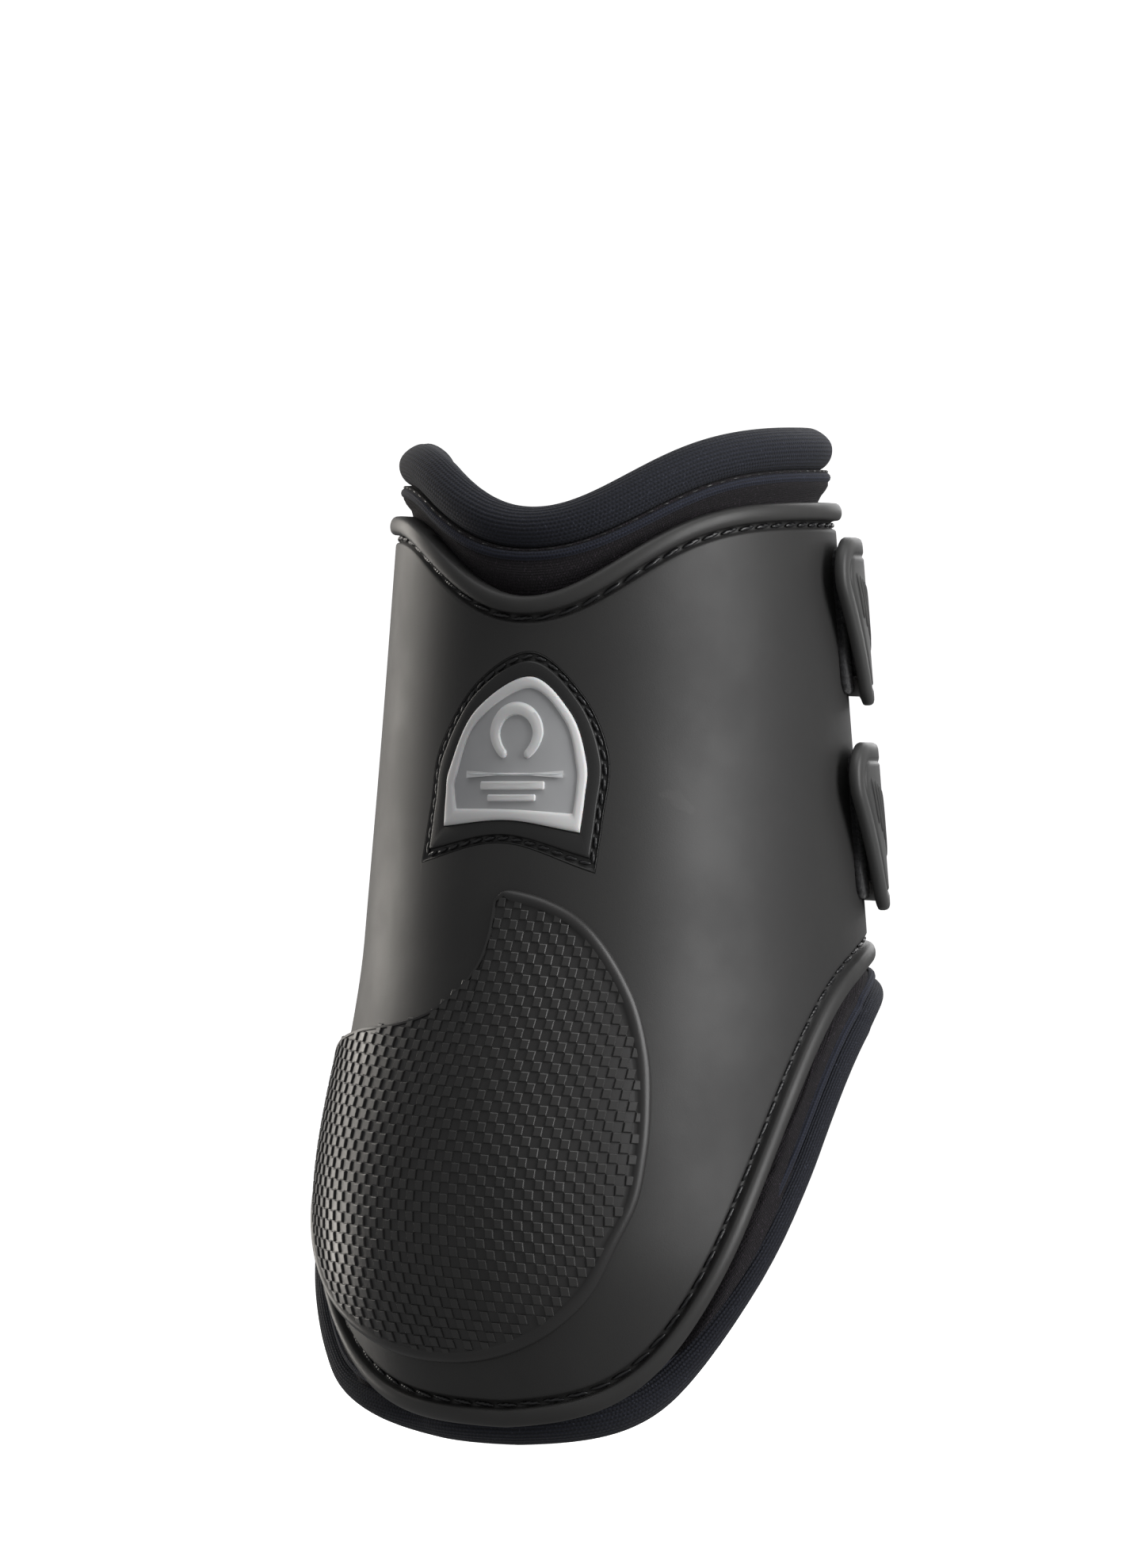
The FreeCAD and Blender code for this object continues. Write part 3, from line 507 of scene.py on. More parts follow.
# %% Dark panel, pale rim and grey field
badge_panel = ring_piece("badge_panel", badge_outline, [
    (0.01, -0.78), (0.01, -0.2), (0.02, -0.06), (0.045, 0.0), (0.07, -0.1), (0.09, -0.32),
    (0.12, -0.38), (0.3, -0.38), (0.34, -0.3), (0.365, 0.2), (0.39, 0.42), (0.44, 0.5), (0.88, 0.5),
    (0.92, 0.44), (0.94, 0.2)], badge_place, fill_in=8, sharp=60)
badge_rim = ring_piece("badge_rim", badge_outline, [
    (0.96, 0.1), (0.96, 0.58), (0.975, 0.78), (1.02, 0.96), (1.1, 1.06), (1.26, 1.08), (1.33, 1.02),
    (1.38, 0.88), (1.4, 0.7), (1.41, 0.3)], badge_place, fill_in=5, sharp=60)
badge_field = ring_piece("badge_field", badge_outline, [
    (1.37, 0.1), (1.37, 0.52), (1.5, 0.52)], badge_place, fill_in=10)
for piece, node, finish in ((badge_panel, "badge_base", "badge_dark"),
                            (badge_rim, "badge_rim", "badge_light"),
                            (badge_field, "badge_field", "badge_grey")):
    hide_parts(node)
    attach(piece, "boot")
print("badge layers:", badge_panel.name, badge_rim.name, badge_field.name)

# %% [markdown]
# ## Badge relief
# The white relief here is a plain horseshoe over a divider line and three plain
# bars. A horseshoe is an arc with a round section that gets slimmer to its
# heels, with three nail holes a side.

# %% Horseshoe, divider and bars
def bar_outline(width, height, x, y, round_off=0.3, steps=4):
    """Counter-clockwise rectangle with round corners."""
    points = []
    for cx, cy, start in ((1, 1, 0), (-1, 1, 90), (-1, -1, 180), (1, -1, 270)):
        for turn in np.radians(np.linspace(start, start + 90, steps)):
            points.append((x + cx * (width / 2 - round_off) + round_off * math.cos(turn),
                           y + cy * (height / 2 - round_off) + round_off * math.sin(turn)))
    return np.array(points)


def dense(outline, step):
    """The same closed outline with points no further apart than a step."""
    points = []
    for here, ahead in zip(outline, np.roll(outline, -1, 0)):
        count = max(1, int(np.linalg.norm(ahead - here) / step))
        points += [here + (ahead - here) * i / count for i in range(count)]
    return np.array(points)


def horseshoe_place(x, y, depth):
    """Bend a straight bar into a shoe: x runs round it from heel to heel."""
    turn = np.radians(-62.0) + x * np.radians(304.0)
    slim = 1 - 0.35 * np.abs(2 * x - 1) ** 3
    radius = 4.3 + y * slim
    squeeze = 0.94 - 0.1 * np.clip(-np.sin(turn), 0, 1)
    return badge_place(0.8 + radius * np.cos(turn) * squeeze, 5.0 + radius * np.sin(turn) * 1.05,
                       depth)


horseshoe = flat_grid("badge_horseshoe", 72, 10)
shoe_grid = read_points(horseshoe)
shoe_section = shoe_grid[:, 1] * 2 * math.pi
shoe_across = -1.15 * np.cos(shoe_section)
shoe_rise = 0.5 + 0.62 * np.clip(np.sin(shoe_section), 0, 1) ** 0.5
shoe_end = np.clip(np.minimum(shoe_grid[:, 0], 1 - shoe_grid[:, 0]) / 0.03, 0, 1)
shoe_end = np.sqrt(1 - (1 - shoe_end) ** 2 * 0.9)
write_points(horseshoe, horseshoe_place(1 - shoe_grid[:, 0], shoe_across * shoe_end,
                                        0.5 + (shoe_rise - 0.5) * shoe_end))
close_up(horseshoe, 50)
relief_bars = [ring_piece("badge_bar_%d" % i, dense(bar_outline(w, h, x, y), 0.5),
                          [(0.0, 0.45), (0.0, 0.95), (0.08, 1.05), (0.2, 1.1)], badge_place,
                          centre=(x, y), fill_in=2)
               for i, (w, h, x, y) in enumerate([(18.0, 0.45, 0.6, -2.2), (12.0, 1.5, 0.4, -4.2),
                                                 (9.0, 1.2, 0.4, -6.4)])]
bpy.ops.object.select_all(action="DESELECT")
for piece in [horseshoe] + relief_bars:
    piece.select_set(True)
bpy.context.view_layer.objects.active = horseshoe
bpy.ops.object.join()
badge_relief = horseshoe
badge_relief.name = badge_relief.data.name = "badge_relief"
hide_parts("badge_emblem")
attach(badge_relief, "boot")
print("badge relief:", len(badge_relief.data.polygons), "faces")

# %% [markdown]
# ## Strike plate
# A second, softer moulding covers the inner back of the fetlock, where the other
# hoof strikes. It is a low dome with a smooth rim and a field of raised square
# tiles. The tiles could be a bump pattern, but each one has a lit edge and a dark
# edge at this size, so they are modelled: checker squares of a flat grid, inset
# and raised, then laid on the dome.

# %% Outline of the plate
PLATE_BEARING = -32.0  # the plate's outline is drawn flat (sideways, height) as seen from here
HORN, HEEL = (25.9, 97.4), (-35.0, 62.1)
plate_round = [HORN, (27.4, 99.1), (30.2, 98.8), (34.0, 97.4), (37.9, 94.6), (40.9, 90.2),
               (43.7, 83.4), (45.7, 75.7), (47.2, 65.0), (47.8, 52.0), (47.1, 40.5),
               (43.6, 28.6), (38.2, 21.3), (31.3, 16.9), (23.2, 15.0), (13.9, 15.4),
               (5.2, 17.5), (-5.8, 22.1), (-14.7, 28.0), (-23.5, 37.5), (-32.0, 50.7), HEEL]
plate_step = [HEEL, (-26.0, 68.2), (-15.5, 72.2), (-3.9, 74.3), (8.6, 75.5), (16.2, 77.5),
              (21.1, 81.1), (24.4, 85.7), (25.7, 91.2), HORN]
plate_outline = np.vstack([smooth_run(plate_round, 10), smooth_run(plate_step, 10)])[::-1]
plate_share = np.concatenate([np.linspace(0, 1, 21 * 10), np.full(9 * 10, -1.0)])[::-1]
print("plate outline:", len(plate_outline), "points")


# %% Dome and rim of the plate
def dome(angle, z):
    """How far the plate stands above the shell."""
    across, upward = (angle + 28) / 62.0, (z - HEIGHT * 0.285) / (HEIGHT * 0.26)
    return 1.1 + 2.0 * (1 - np.minimum(1.0, across**2 + upward**2))


def plate_place(x, z, depth):
    angle = angle_beside(PLATE_BEARING, x, z)
    return form(angle, z, depth + np.where(depth > -0.9, dome(angle, z), 0.0))


TILE_RISE, RIM_WIDTH = 0.34, 1.9
rim_full = np.where(plate_share >= 0, np.clip(np.sin(np.clip(plate_share, 0, 1) * math.pi) * 4,
                                              0, 1), 0.0)
rim_width = 0.25 + 0.65 * rim_full
turned_away = np.sqrt(1 - np.clip(plate_outline[:, 0] / 52.0, -0.95, 0.95) ** 2)


def plate_ring(distance):
    """Outline moved in by a distance along the surface; the step side has hardly any rim."""
    shift = move_inward(plate_outline, distance * rim_width) - plate_outline
    return plate_outline + shift * np.stack([turned_away, np.ones(len(shift))], -1)


rim_rings = [(0.0, -1.2), (0.0, -0.85), (0.04, -0.5), (0.2, -0.18), (0.5, 0.06),
             (0.95, 0.16 * rim_full + 0.04), (1.4, 0.2 * rim_full + 0.02),
             (1.8, 0.14 * rim_full - 0.02), (2.1, -0.04), (2.3, -0.2), (2.5, -TILE_RISE),
             (3.2, -TILE_RISE)]
strike_plate = ring_piece("strike_plate_body", plate_ring, rim_rings, plate_place,
                          centre=(20.0, 50.0), fill_in=22, sharp=50)
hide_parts("strike_plate")
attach(strike_plate, "boot")
print("plate body:", len(strike_plate.data.polygons), "faces")

# %% Raised tiles
TILE = 1.87
TILE_START, TILE_REACH = 20.0, 54.0  # angle of the pattern's zero, and the form's reach there
TILES_LEFT, LOWEST_TILE = 66, 6.0  # columns left of the zero, and height of the lowest row
TILE_SLOPE = 4.0  # degrees that the rows fall towards the outer side


def tile_lean(z):
    """Sideways shift of the tile columns with height, so that they fan a little."""
    low = np.minimum(z, 65.0) - 42.0
    return 0.0049 * low * low + np.maximum(z - 65.0, 0) * math.tan(math.radians(12.0))


def tile_angle(x, y):
    """Angle and height on the boot of a flat place in the tile pattern."""
    z = y - math.tan(math.radians(TILE_SLOPE)) * x
    return TILE_START + np.degrees((x + tile_lean(z)) / TILE_REACH), z


def inside_outline(outline, x, y):
    here, ahead = outline, np.roll(outline, -1, 0)
    crossing = (here[:, 1] > y[:, None]) != (ahead[:, 1] > y[:, None])
    rise = np.where(np.abs(ahead[:, 1] - here[:, 1]) < 1e-9, 1e-9, ahead[:, 1] - here[:, 1])
    reach = (ahead[:, 0] - here[:, 0]) * (y[:, None] - here[:, 1]) / rise + here[:, 0]
    return np.sum(crossing & (x[:, None] < reach), axis=1) % 2 == 1


def sideways(angle, z, bearing):
    turn = math.radians(bearing)
    return form(angle, z)[..., :2] @ np.array([math.sin(turn), -math.cos(turn)]) / MM


tiles_wide, tiles_tall = 84, 56
plate_tiles = flat_grid("strike_plate_tiles", tiles_wide, tiles_tall)
points = read_points(plate_tiles)
points[:, 0] = (points[:, 0] * tiles_wide - TILES_LEFT) * TILE
points[:, 1] = points[:, 1] * tiles_tall * TILE + LOWEST_TILE
write_points(plate_tiles, points)
centres = np.empty(len(plate_tiles.data.polygons) * 3)
plate_tiles.data.polygons.foreach_get("center", centres)
centres = centres.reshape(-1, 3)
tile_at, tile_z = tile_angle(centres[:, 0], centres[:, 1])
tile_x = sideways(tile_at, tile_z, PLATE_BEARING)
near_rim = plate_ring(RIM_WIDTH)
wanted = inside_outline(near_rim, tile_x, tile_z) & (tile_at > -112) & (tile_at < 52)
column = np.rint(centres[:, 0] / TILE + TILES_LEFT - 0.5).astype(int)
row = np.rint((centres[:, 1] - LOWEST_TILE) / TILE - 0.5).astype(int)
wanted &= (column + row) % 2 == 0
bpy.ops.object.mode_set(mode="EDIT")
bpy.ops.mesh.select_mode(type="FACE")
bpy.ops.mesh.select_all(action="DESELECT")
bpy.ops.object.mode_set(mode="OBJECT")
plate_tiles.data.polygons.foreach_set("select", ~wanted)
bpy.ops.object.mode_set(mode="EDIT")
bpy.ops.mesh.delete(type="FACE")
bpy.ops.mesh.select_all(action="SELECT")
bpy.ops.mesh.edge_split(type="VERT")
bpy.ops.mesh.select_all(action="SELECT")
bpy.ops.mesh.inset(use_individual=True, thickness=0.1, depth=TILE_RISE * 0.7)
bpy.ops.mesh.inset(use_individual=True, thickness=0.14, depth=TILE_RISE * 0.3)
bpy.ops.object.mode_set(mode="OBJECT")
print("raised tiles:", int(wanted.sum()))

# %% Lay the tiles on the dome
points = read_points(plate_tiles)
tile_at, tile_z = tile_angle(points[:, 0], points[:, 1])
tile_top = np.where(points[:, 2] > 1e-4, points[:, 2] - TILE_RISE, -TILE_RISE - 0.05)
# The raised tile tops get the painted highlight, and the sunken cells get none.
write_crest_highlight(plate_tiles, np.clip(points[:, 2] / TILE_RISE, 0, 1))
write_points(plate_tiles, form(tile_at, tile_z, dome(tile_at, tile_z) + tile_top))
close_up(plate_tiles, 25, fill=False)
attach(plate_tiles, "boot")
print("tile field:", len(plate_tiles.data.polygons), "faces")

# %% [markdown]
# ## Padded rolls
# The top and the hem of the padding are soft rolls: a foam core in a ribbed knit,
# turned over and sewn. A bevelled curve would give an even hose. Here the roll is
# a grid wrapped into a tube, so that its section can be fuller on the outside and
# pull in at the sewn side, and so that the knit ribs follow its length.

# %% Wrap a roll along an edge line
ROLL_BEYOND = 2.9  # degrees that the rolls and pipings run past the shell's front edges


def lay_roll(name, edge, sign, distance, depth, across, up, columns, around, shape=None,
             fullness=None):
    """Soft tube inside an edge line; returns it with its path, and outward and upward directions.

    shape changes the section and fullness says how thick the tube is at an angle."""
    angles = np.linspace(INNER_EDGE - ROLL_BEYOND, OUTER_EDGE + ROLL_BEYOND, columns + 1)

    def centre(angle, more=0.0):
        z = inside(edge, angle, distance(angle), sign)
        return form(angle, z, depth(angle) + more)
    along = centre(angles + 0.5) - centre(angles - 0.5)
    along /= np.linalg.norm(along, axis=1, keepdims=True)
    upward = np.cross(centre(angles, 1.0) - centre(angles), along)
    upward /= np.linalg.norm(upward, axis=1, keepdims=True)
    outward = np.cross(along, upward)
    middle = centre(angles)
    length = np.concatenate([[0], np.cumsum(np.linalg.norm(np.diff(middle, axis=0), axis=1))])
    from_end = np.minimum(length, length[-1] - length) / (min(across, up) * 0.8 * MM)
    full = np.sqrt(1 - (1 - np.clip(from_end, 0, 1)) ** 2 * 0.97)
    if fullness:
        full = full * fullness(angles)
    piece = flat_grid(name, columns, around)
    grid = read_points(piece)
    column = np.rint(grid[:, 0] * columns).astype(int)
    turn = grid[:, 1] * 2 * math.pi
    x, y = across * np.sin(turn), up * np.cos(turn)
    if shape:
        x, y = shape(x, y, turn, length[column] / MM)
    x, y = x * full[column] * MM, y * full[column] * MM
    write_points(piece, middle[column] + outward[column] * x[:, None] + upward[column] * y[:, None])
    write_cloth(piece, length[column], grid[:, 1] * math.pi * (across + up) * MM)
    return piece, middle, outward, upward


def flat_line(value):
    return lambda angle: np.full(np.shape(angle), float(value))


def free_share(angle):
    """0 where the hem roll is tucked under the shell, 1 where it stands free."""
    return np.where(angle >= 0, smooth_step(angle, 40.0, 70.0), smooth_step(-angle, 26.0, 58.0))


ROLL_ACROSS, ROLL_UP = 4.15, 3.98  # half thickness of a full roll
HALF_ROLL = 4.0
TOP_ROLL_DEPTH, TUCKED_DEPTH = -3.7, -7.1


def end_share(angle):
    """How far the top roll has flattened towards its inner front end, from 0 to 1."""
    return smooth_step(-angle, 78.0, 106.0)


def hem_roll_depth(angle):
    return TUCKED_DEPTH + np.where(angle >= 0, 6.6, 7.6) * free_share(angle)


def hem_piping_depth(angle):
    return -3.4 + 3.5 * free_share(angle)


def hem_piping_rise(angle):
    return 7.86 - 2.0 * free_share(angle)


def sewn_side(pull, sign):
    """Section that is pulled in beside the seam, with a soft pucker at each stitch."""
    def shape(x, y, turn, length):
        seam = np.clip(-sign * np.cos(turn), 0, 1) ** 3
        wave = np.sin(length * 2 * math.pi / 4.3) + 0.6 * np.sin(length * 2 * math.pi / 11.7 + 1.0)
        slow = np.sin(length / 9.0) * 0.5 + np.sin(length / 23.0 + 2.0)
        squeeze = 1 - seam * (pull + 0.014 * wave)
        return x * (squeeze + 0.008 * slow), y * (1 + 0.01 * slow)
    return shape


# %% Lay the rolls
top_roll = lay_roll("top_roll_knit", roll_top, -1,
                    lambda angle: HALF_ROLL + 6.4 * end_share(angle), flat_line(TOP_ROLL_DEPTH),
                    ROLL_ACROSS, ROLL_UP, 340, 40, sewn_side(0.3, -1),
                    lambda angle: 1 - 0.45 * end_share(angle))[0]
hem_roll = lay_roll("hem_roll_knit", roll_hem, 1,
                    lambda angle: HALF_ROLL - 1.35 * free_share(angle), hem_roll_depth,
                    ROLL_ACROSS, ROLL_UP, 420, 40, sewn_side(0.3, 1),
                    lambda angle: 1 - 0.36 * free_share(angle))[0]
for piece, node in ((top_roll, "top_roll"), (hem_roll, "hem_roll")):
    close_up(piece, 60)
    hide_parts(node)
    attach(piece, "boot")
    print(piece.name, len(piece.data.polygons), "faces")

# %% [markdown]
# ## Piping
# A thin cord in a folded strip of knit is sewn in between each roll and the
# padding. It hides the seam, and makes the fine bright line beside the dark
# crevice.

# %% Lay the pipings
TOP_CORD, HEM_CORD = 0.92, 0.85  # radii
top_piping, piping_line, piping_out, piping_up = lay_roll(
    "top_piping_cord", roll_top, -1, lambda angle: 8.9 + 3.6 * end_share(angle), flat_line(-1.15),
    TOP_CORD, TOP_CORD, 420, 12)
hem_piping = lay_roll("hem_piping_cord", roll_hem, 1, hem_piping_rise, hem_piping_depth, HEM_CORD,
                      HEM_CORD, 520, 12)[0]
for piece, node in ((top_piping, "top_piping"), (hem_piping, "hem_piping")):
    close_up(piece, 60)
    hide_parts(node)
    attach(piece, "boot")
print("pipings:", top_piping.name, hem_piping.name)


# %% [markdown]
# ## Padding
# Behind the shell is a 6 mm layer of foam between two fabrics. Outside it shows
# as a narrow dark band between the shell and each roll, and inside it is what
# touches the leg. It is one closed slab. Its outer face swells where the shell
# doesn't press it, almost level with the bead.

# %% Lay the padding
PADDING_FACE, PADDING_BACK, PADDING_MIDDLE = -2.85, -8.6, -5.8  # depths below the shell's face


def padding_rows():
    """Section of the padding: outer face upward, round the top edge, inner face downward."""
    def low(angle):
        return inside(roll_hem, angle, 7.6 - 3.2 * free_share(angle), 1)

    def high(angle):
        return inside(roll_top, angle, 7.6 + 2.8 * end_share(angle), -1)

    def swell(share):
        def depth(angle):
            z = between(share, low, high)(angle)
            above = smooth_step(z - shell_top(angle), 0.0, 3.5)
            below = smooth_step(shell_hem(angle) - z, 0.0, 3.0)
            return PADDING_FACE + 2.1 * above + 3.1 * below
        return depth
    shares = 0.5 - 0.5 * np.cos(np.linspace(0, math.pi, 64))
    rows = [(between(s, low, high), swell(s)) for s in shares]
    rows += [(between(s, low, high), level_depth(PADDING_BACK - 0.2 * math.sin(math.pi * s)))
             for s in shares[::-2]]
    return rows


padding_angles = even_angles(1.2, 201, crowd=0.2)
padding = lay_strip("foam_padding", padding_angles, padding_rows(), end_round=2.0,
                    middle=PADDING_MIDDLE)[0]
close_up(padding, 50)
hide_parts("neoprene_liner")
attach(padding, "boot")
print("padding:", len(padding.data.polygons), "faces")


# %% [markdown]
# ## Front bindings
# Each cut front edge of the padding is closed by a folded tape. Its section is a
# flat loop round the edge, with a row of stitches on both faces. The tape is laid
# as a narrow strip that runs up the opening.

# %% Lay the bindings
def binding(name, start, turn):
    """Folded tape round one front edge; turn is +1 on the outer side and -1 on the inner."""
    columns, rows = 120, 28
    piece = flat_grid(name, columns, rows)
    grid = read_points(piece)
    t = grid[:, 1] * 2 * math.pi
    section_x, section_y = np.cos(t), np.sin(t)
    soft = (np.abs(section_x) ** 5 + np.abs(section_y) ** 5) ** -0.2
    angle = start + turn * (1.2 + 1.25 * section_x * soft)
    depth = PADDING_MIDDLE + 3.62 * section_y * soft
    low = inside(roll_hem, angle, 9.8, 1)
    high = inside(roll_top, angle, 9.8 + 2.6 * end_share(angle), -1)
    pucker = 0.06 * np.sin(grid[:, 0] * (high - low) * 2 * math.pi / 3.1)
    write_points(piece, form(angle, low + (high - low) * grid[:, 0],
                             depth + pucker * np.sign(section_y) * (np.abs(section_y) > 0.6)))
    write_cloth(piece, grid[:, 0] * 0.08, grid[:, 1] * 0.018)
    return close_up(piece, 50)


outer_binding = binding("outer_front_binding", OUTER_EDGE + 1.6, 1)
inner_binding = binding("inner_front_binding", INNER_EDGE - 1.6, -1)
for piece, node in ((outer_binding, "front_binding_lateral"),
                    (inner_binding, "front_binding_medial")):
    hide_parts(node)
    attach(piece, "boot")
print("bindings laid")

# %% [markdown]
# ## Gel pads
# Two soft pads inside spread the pressure behind the tendons and the fetlock.
# They are cast with rows of low domes. Each pad is a round-cornered slab whose
# domes are raised faces of its own grid.

# %% Lay the gel pads
def gel_pad(name, reach, low, high):
    columns, rows = 72, max(24, int((high - low) / 1.1))
    piece = flat_grid(name, columns, rows)
    grid = read_points(piece)
    angle = (grid[:, 0] * 2 - 1) * reach
    z = low + (high - low) * grid[:, 1]
    edge = np.minimum(np.minimum(grid[:, 0], 1 - grid[:, 0]) * reach * 2 * 0.9,
                      np.minimum(grid[:, 1], 1 - grid[:, 1]) * (high - low))
    full = np.sqrt(1 - (1 - np.clip(edge / 3.0, 0, 1)) ** 2)
    cells = np.abs(np.sin(angle * math.pi / 11.0) * np.sin((z - low) * math.pi / 9.1)) ** 0.5
    write_points(piece, form(angle, z, -8.9 - (0.4 + 1.1 * cells) * full - 0.45 * full))
    write_cloth(piece, angle * 0.0009, z * MM)
    apply_modifier(piece, "SOLIDIFY", thickness=0.0004, offset=1.0)
    return close_up(piece, 60, fill=False)


tendon_pad = gel_pad("tendon_gel_pad_cast", 40.0, HEIGHT * 0.4, HEIGHT * 0.8)
fetlock_pad = gel_pad("fetlock_gel_pad_cast", 44.0, HEIGHT * 0.16, HEIGHT * 0.36)
for piece, node in ((tendon_pad, "tendon_gel_pad"), (fetlock_pad, "fetlock_gel_pad")):
    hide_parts(node)
    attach(piece, "boot")
print("gel pads laid")

# %% [markdown]
# ## Sewing
# A thick bonded thread runs in the groove of the shell. It is seen as short
# slanted turns with a needle hole between them. One stitch is shaped once, from a
# low sphere pulled long, and copied to every place along a line.

# %% One stitch
def one_stitch(name, length, thick):
    bpy.ops.object.select_all(action="DESELECT")
    bpy.ops.mesh.primitive_uv_sphere_add(segments=8, ring_count=6, radius=1, location=(0, 0, 0))
    model = bpy.context.object
    model.name = model.data.name = name
    points = read_points(model)
    points = points[:, [2, 1, 0]]
    points[:, 0] = np.sign(points[:, 0]) * np.abs(points[:, 0]) ** 0.7
    belly = 1 - 0.25 * points[:, 0] ** 2
    points *= np.array([length / 2, thick, thick * 0.9]) * MM
    points[:, 1] *= belly
    points[:, 2] *= belly
    write_points(model, points)
    return model


def sew(name, model, path, outward, pitch, slant=0.0):
    """Copies of one stitch along a path of close points."""
    run = np.concatenate([[0], np.cumsum(np.linalg.norm(np.diff(path, axis=0), axis=1))])
    count = int(run[-1] / (pitch * MM))
    at = (np.arange(count) + 0.5) * run[-1] / count
    places = np.stack([np.interp(at, run, path[:, k]) for k in range(3)], -1)
    ahead = np.stack([np.interp(at + 0.0004, run, path[:, k]) for k in range(3)], -1)
    behind = np.stack([np.interp(at - 0.0004, run, path[:, k]) for k in range(3)], -1)
    out = np.stack([np.interp(at, run, outward[:, k]) for k in range(3)], -1)
    copies = []
    for place, tangent, normal in zip(places, ahead - behind, out):
        x = Vector(tangent).normalized()
        z = Vector(normal)
        z = (z - x * z.dot(x)).normalized()
        y = z.cross(x)
        x, y = (x * math.cos(slant) + y * math.sin(slant),
                y * math.cos(slant) - x * math.sin(slant))
        copy = model.copy()
        copy.data = model.data.copy()
        turn = Matrix((x, y, z)).transposed().to_4x4()
        copy.matrix_world = Matrix.Translation(place) @ turn
        bpy.context.collection.objects.link(copy)
        copies.append(copy)
    bpy.ops.object.select_all(action="DESELECT")
    for copy in copies:
        copy.select_set(True)
    bpy.context.view_layer.objects.active = copies[0]
    bpy.ops.object.join()
    seam = copies[0]
    seam.name = seam.data.name = name
    bpy.ops.object.transform_apply(location=True, rotation=True, scale=True)
    bpy.ops.object.shade_smooth()
    return seam


def form_path(edge, sign, distance, depth, count=900):
    """Path and outward direction inside an edge line."""
    angles = np.linspace(INNER_EDGE + 1.5, OUTER_EDGE - 1.5, count)
    z = inside(edge, angles, distance, sign)
    path = form(angles, z, depth)
    return path, form(angles, z, depth + 1.0) - path


THREAD_DEPTH, EDGE_PITCH = -0.58, 4.3
edge_stitch = one_stitch("edge_stitch", 3.9, 0.42)
path, outward = form_path(shell_top, -1, SEAM_DISTANCE, THREAD_DEPTH)
top_sewing = sew("shell_top_sewing", edge_stitch, path, outward, EDGE_PITCH, slant=0.10)
path, outward = form_path(shell_hem, 1, SEAM_DISTANCE, THREAD_DEPTH, 1400)
hem_sewing = sew("shell_hem_sewing", edge_stitch, path, outward, EDGE_PITCH, slant=-0.10)
remove(edge_stitch)
for piece, node in ((top_sewing, "shell_top_stitches"), (hem_sewing, "shell_hem_stitches")):
    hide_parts(node)
    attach(piece, "boot")
print("edge sewing:", len(top_sewing.data.polygons) + len(hem_sewing.data.polygons), "faces")

# %% Sewing of the badge and the piping
badge_stitch = one_stitch("badge_stitch", 2.3, 0.36)
BADGE_SEAM = 0.21  # share of the way from the recess edge to the rim
ring = dense(badge_outline(BADGE_SEAM), 0.4)
ring = np.vstack([ring, ring[:1]])
path = badge_place(ring[:, 0], ring[:, 1], np.full(len(ring), -0.18))
outward = badge_place(ring[:, 0], ring[:, 1], np.full(len(ring), 0.82)) - path
badge_sewing = sew("badge_sewing", badge_stitch, path, outward, 2.6, slant=0.12)
remove(badge_stitch)
fine_stitch = one_stitch("fine_stitch", 1.5, 0.2)
path = piping_line + piping_out * 0.0003 + piping_up * 0.00105
piping_sewing = sew("top_piping_sewing", fine_stitch, path, piping_out, 3.2)
remove(fine_stitch)
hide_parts("badge_stitches")
for piece in (badge_sewing, piping_sewing):
    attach(piece, "boot")
print("badge and piping sewing done")


# %% [markdown]
# ## Straps
# Two elastic straps are anchored on the inner front edge, cross the opening and
# end in moulded tabs that press onto hook and loop on the outer side. Each tab is
# one leaf-shaped moulding, folded open by hand. It is laid on the cone from a
# flat outline, with a rounded edge and a shallow grip field.

# %% Lay flat patterns on the cone
STRAP_LEVELS = {"upper": HEIGHT * 0.8088, "lower": HEIGHT * 0.6066}
TAB_START, TAB_SPAN = -94.0, 85.0  # bearings from the front, in degrees
FOLD_BEARING, SWING_BEARING = -22.0, 73.75
TAB_HALF, ROOT_HALF = 15.1, 11.0  # half heights of the leaf, and up to the root's round corners


def on_cone(start, level, radius):
    """Laying rule for (along, upward, offset): along is arc length from a bearing from the front."""
    def place(x, y, offset):
        z = y + level
        turn = np.radians(start) + x / radius
        reach = cone_radius(z) + offset
        return np.stack([reach * np.cos(turn), reach * np.sin(turn), z], -1) * MM
    return place


def tab_outline(length):
    """Leaf with a round high tip and a long slope below it, narrower at the root."""
    top, low, radius, taper = TAB_HALF, -TAB_HALF, 7.0, math.radians(31.0)
    swell = 36.0  # radius of the bends where the leaf narrows to its root
    soft = radius * 0.8
    leave = np.array([radius - radius * math.cos(taper), top - radius - radius * math.sin(taper)])
    run = (leave[1] - low - soft * (1 - math.sin(taper))) / math.cos(taper)
    meet = leave + run * np.array([math.sin(taper), -math.cos(taper)])
    centre = meet + soft * np.array([math.cos(taper), math.sin(taper)])
    points = []
    for turn in np.linspace(math.pi / 2, math.pi + taper, 22):
        points.append((radius + radius * math.cos(turn), top - radius + radius * math.sin(turn)))
    for turn in np.linspace(math.pi + taper, 1.5 * math.pi, 12):
        points.append((centre[0] + soft * math.cos(turn), centre[1] + soft * math.sin(turn)))
    for turn in np.linspace(0.03, 0.3, 8):
        points.append((centre[0] + swell * math.sin(turn), low + swell * (1 - math.cos(turn))))
    for start, side in ((-90, -1), (0, 1)):
        for turn in np.radians(np.linspace(start, start + 90, 7)):
            points.append((length - 2 + 2 * math.cos(turn), side * ROOT_HALF + 2 * math.sin(turn)))
    for turn in np.linspace(0.3, 0.03, 8):
        points.append((centre[0] + swell * math.sin(turn), top - swell * (1 - math.cos(turn))))
    return dense(np.array(points), 1.0)


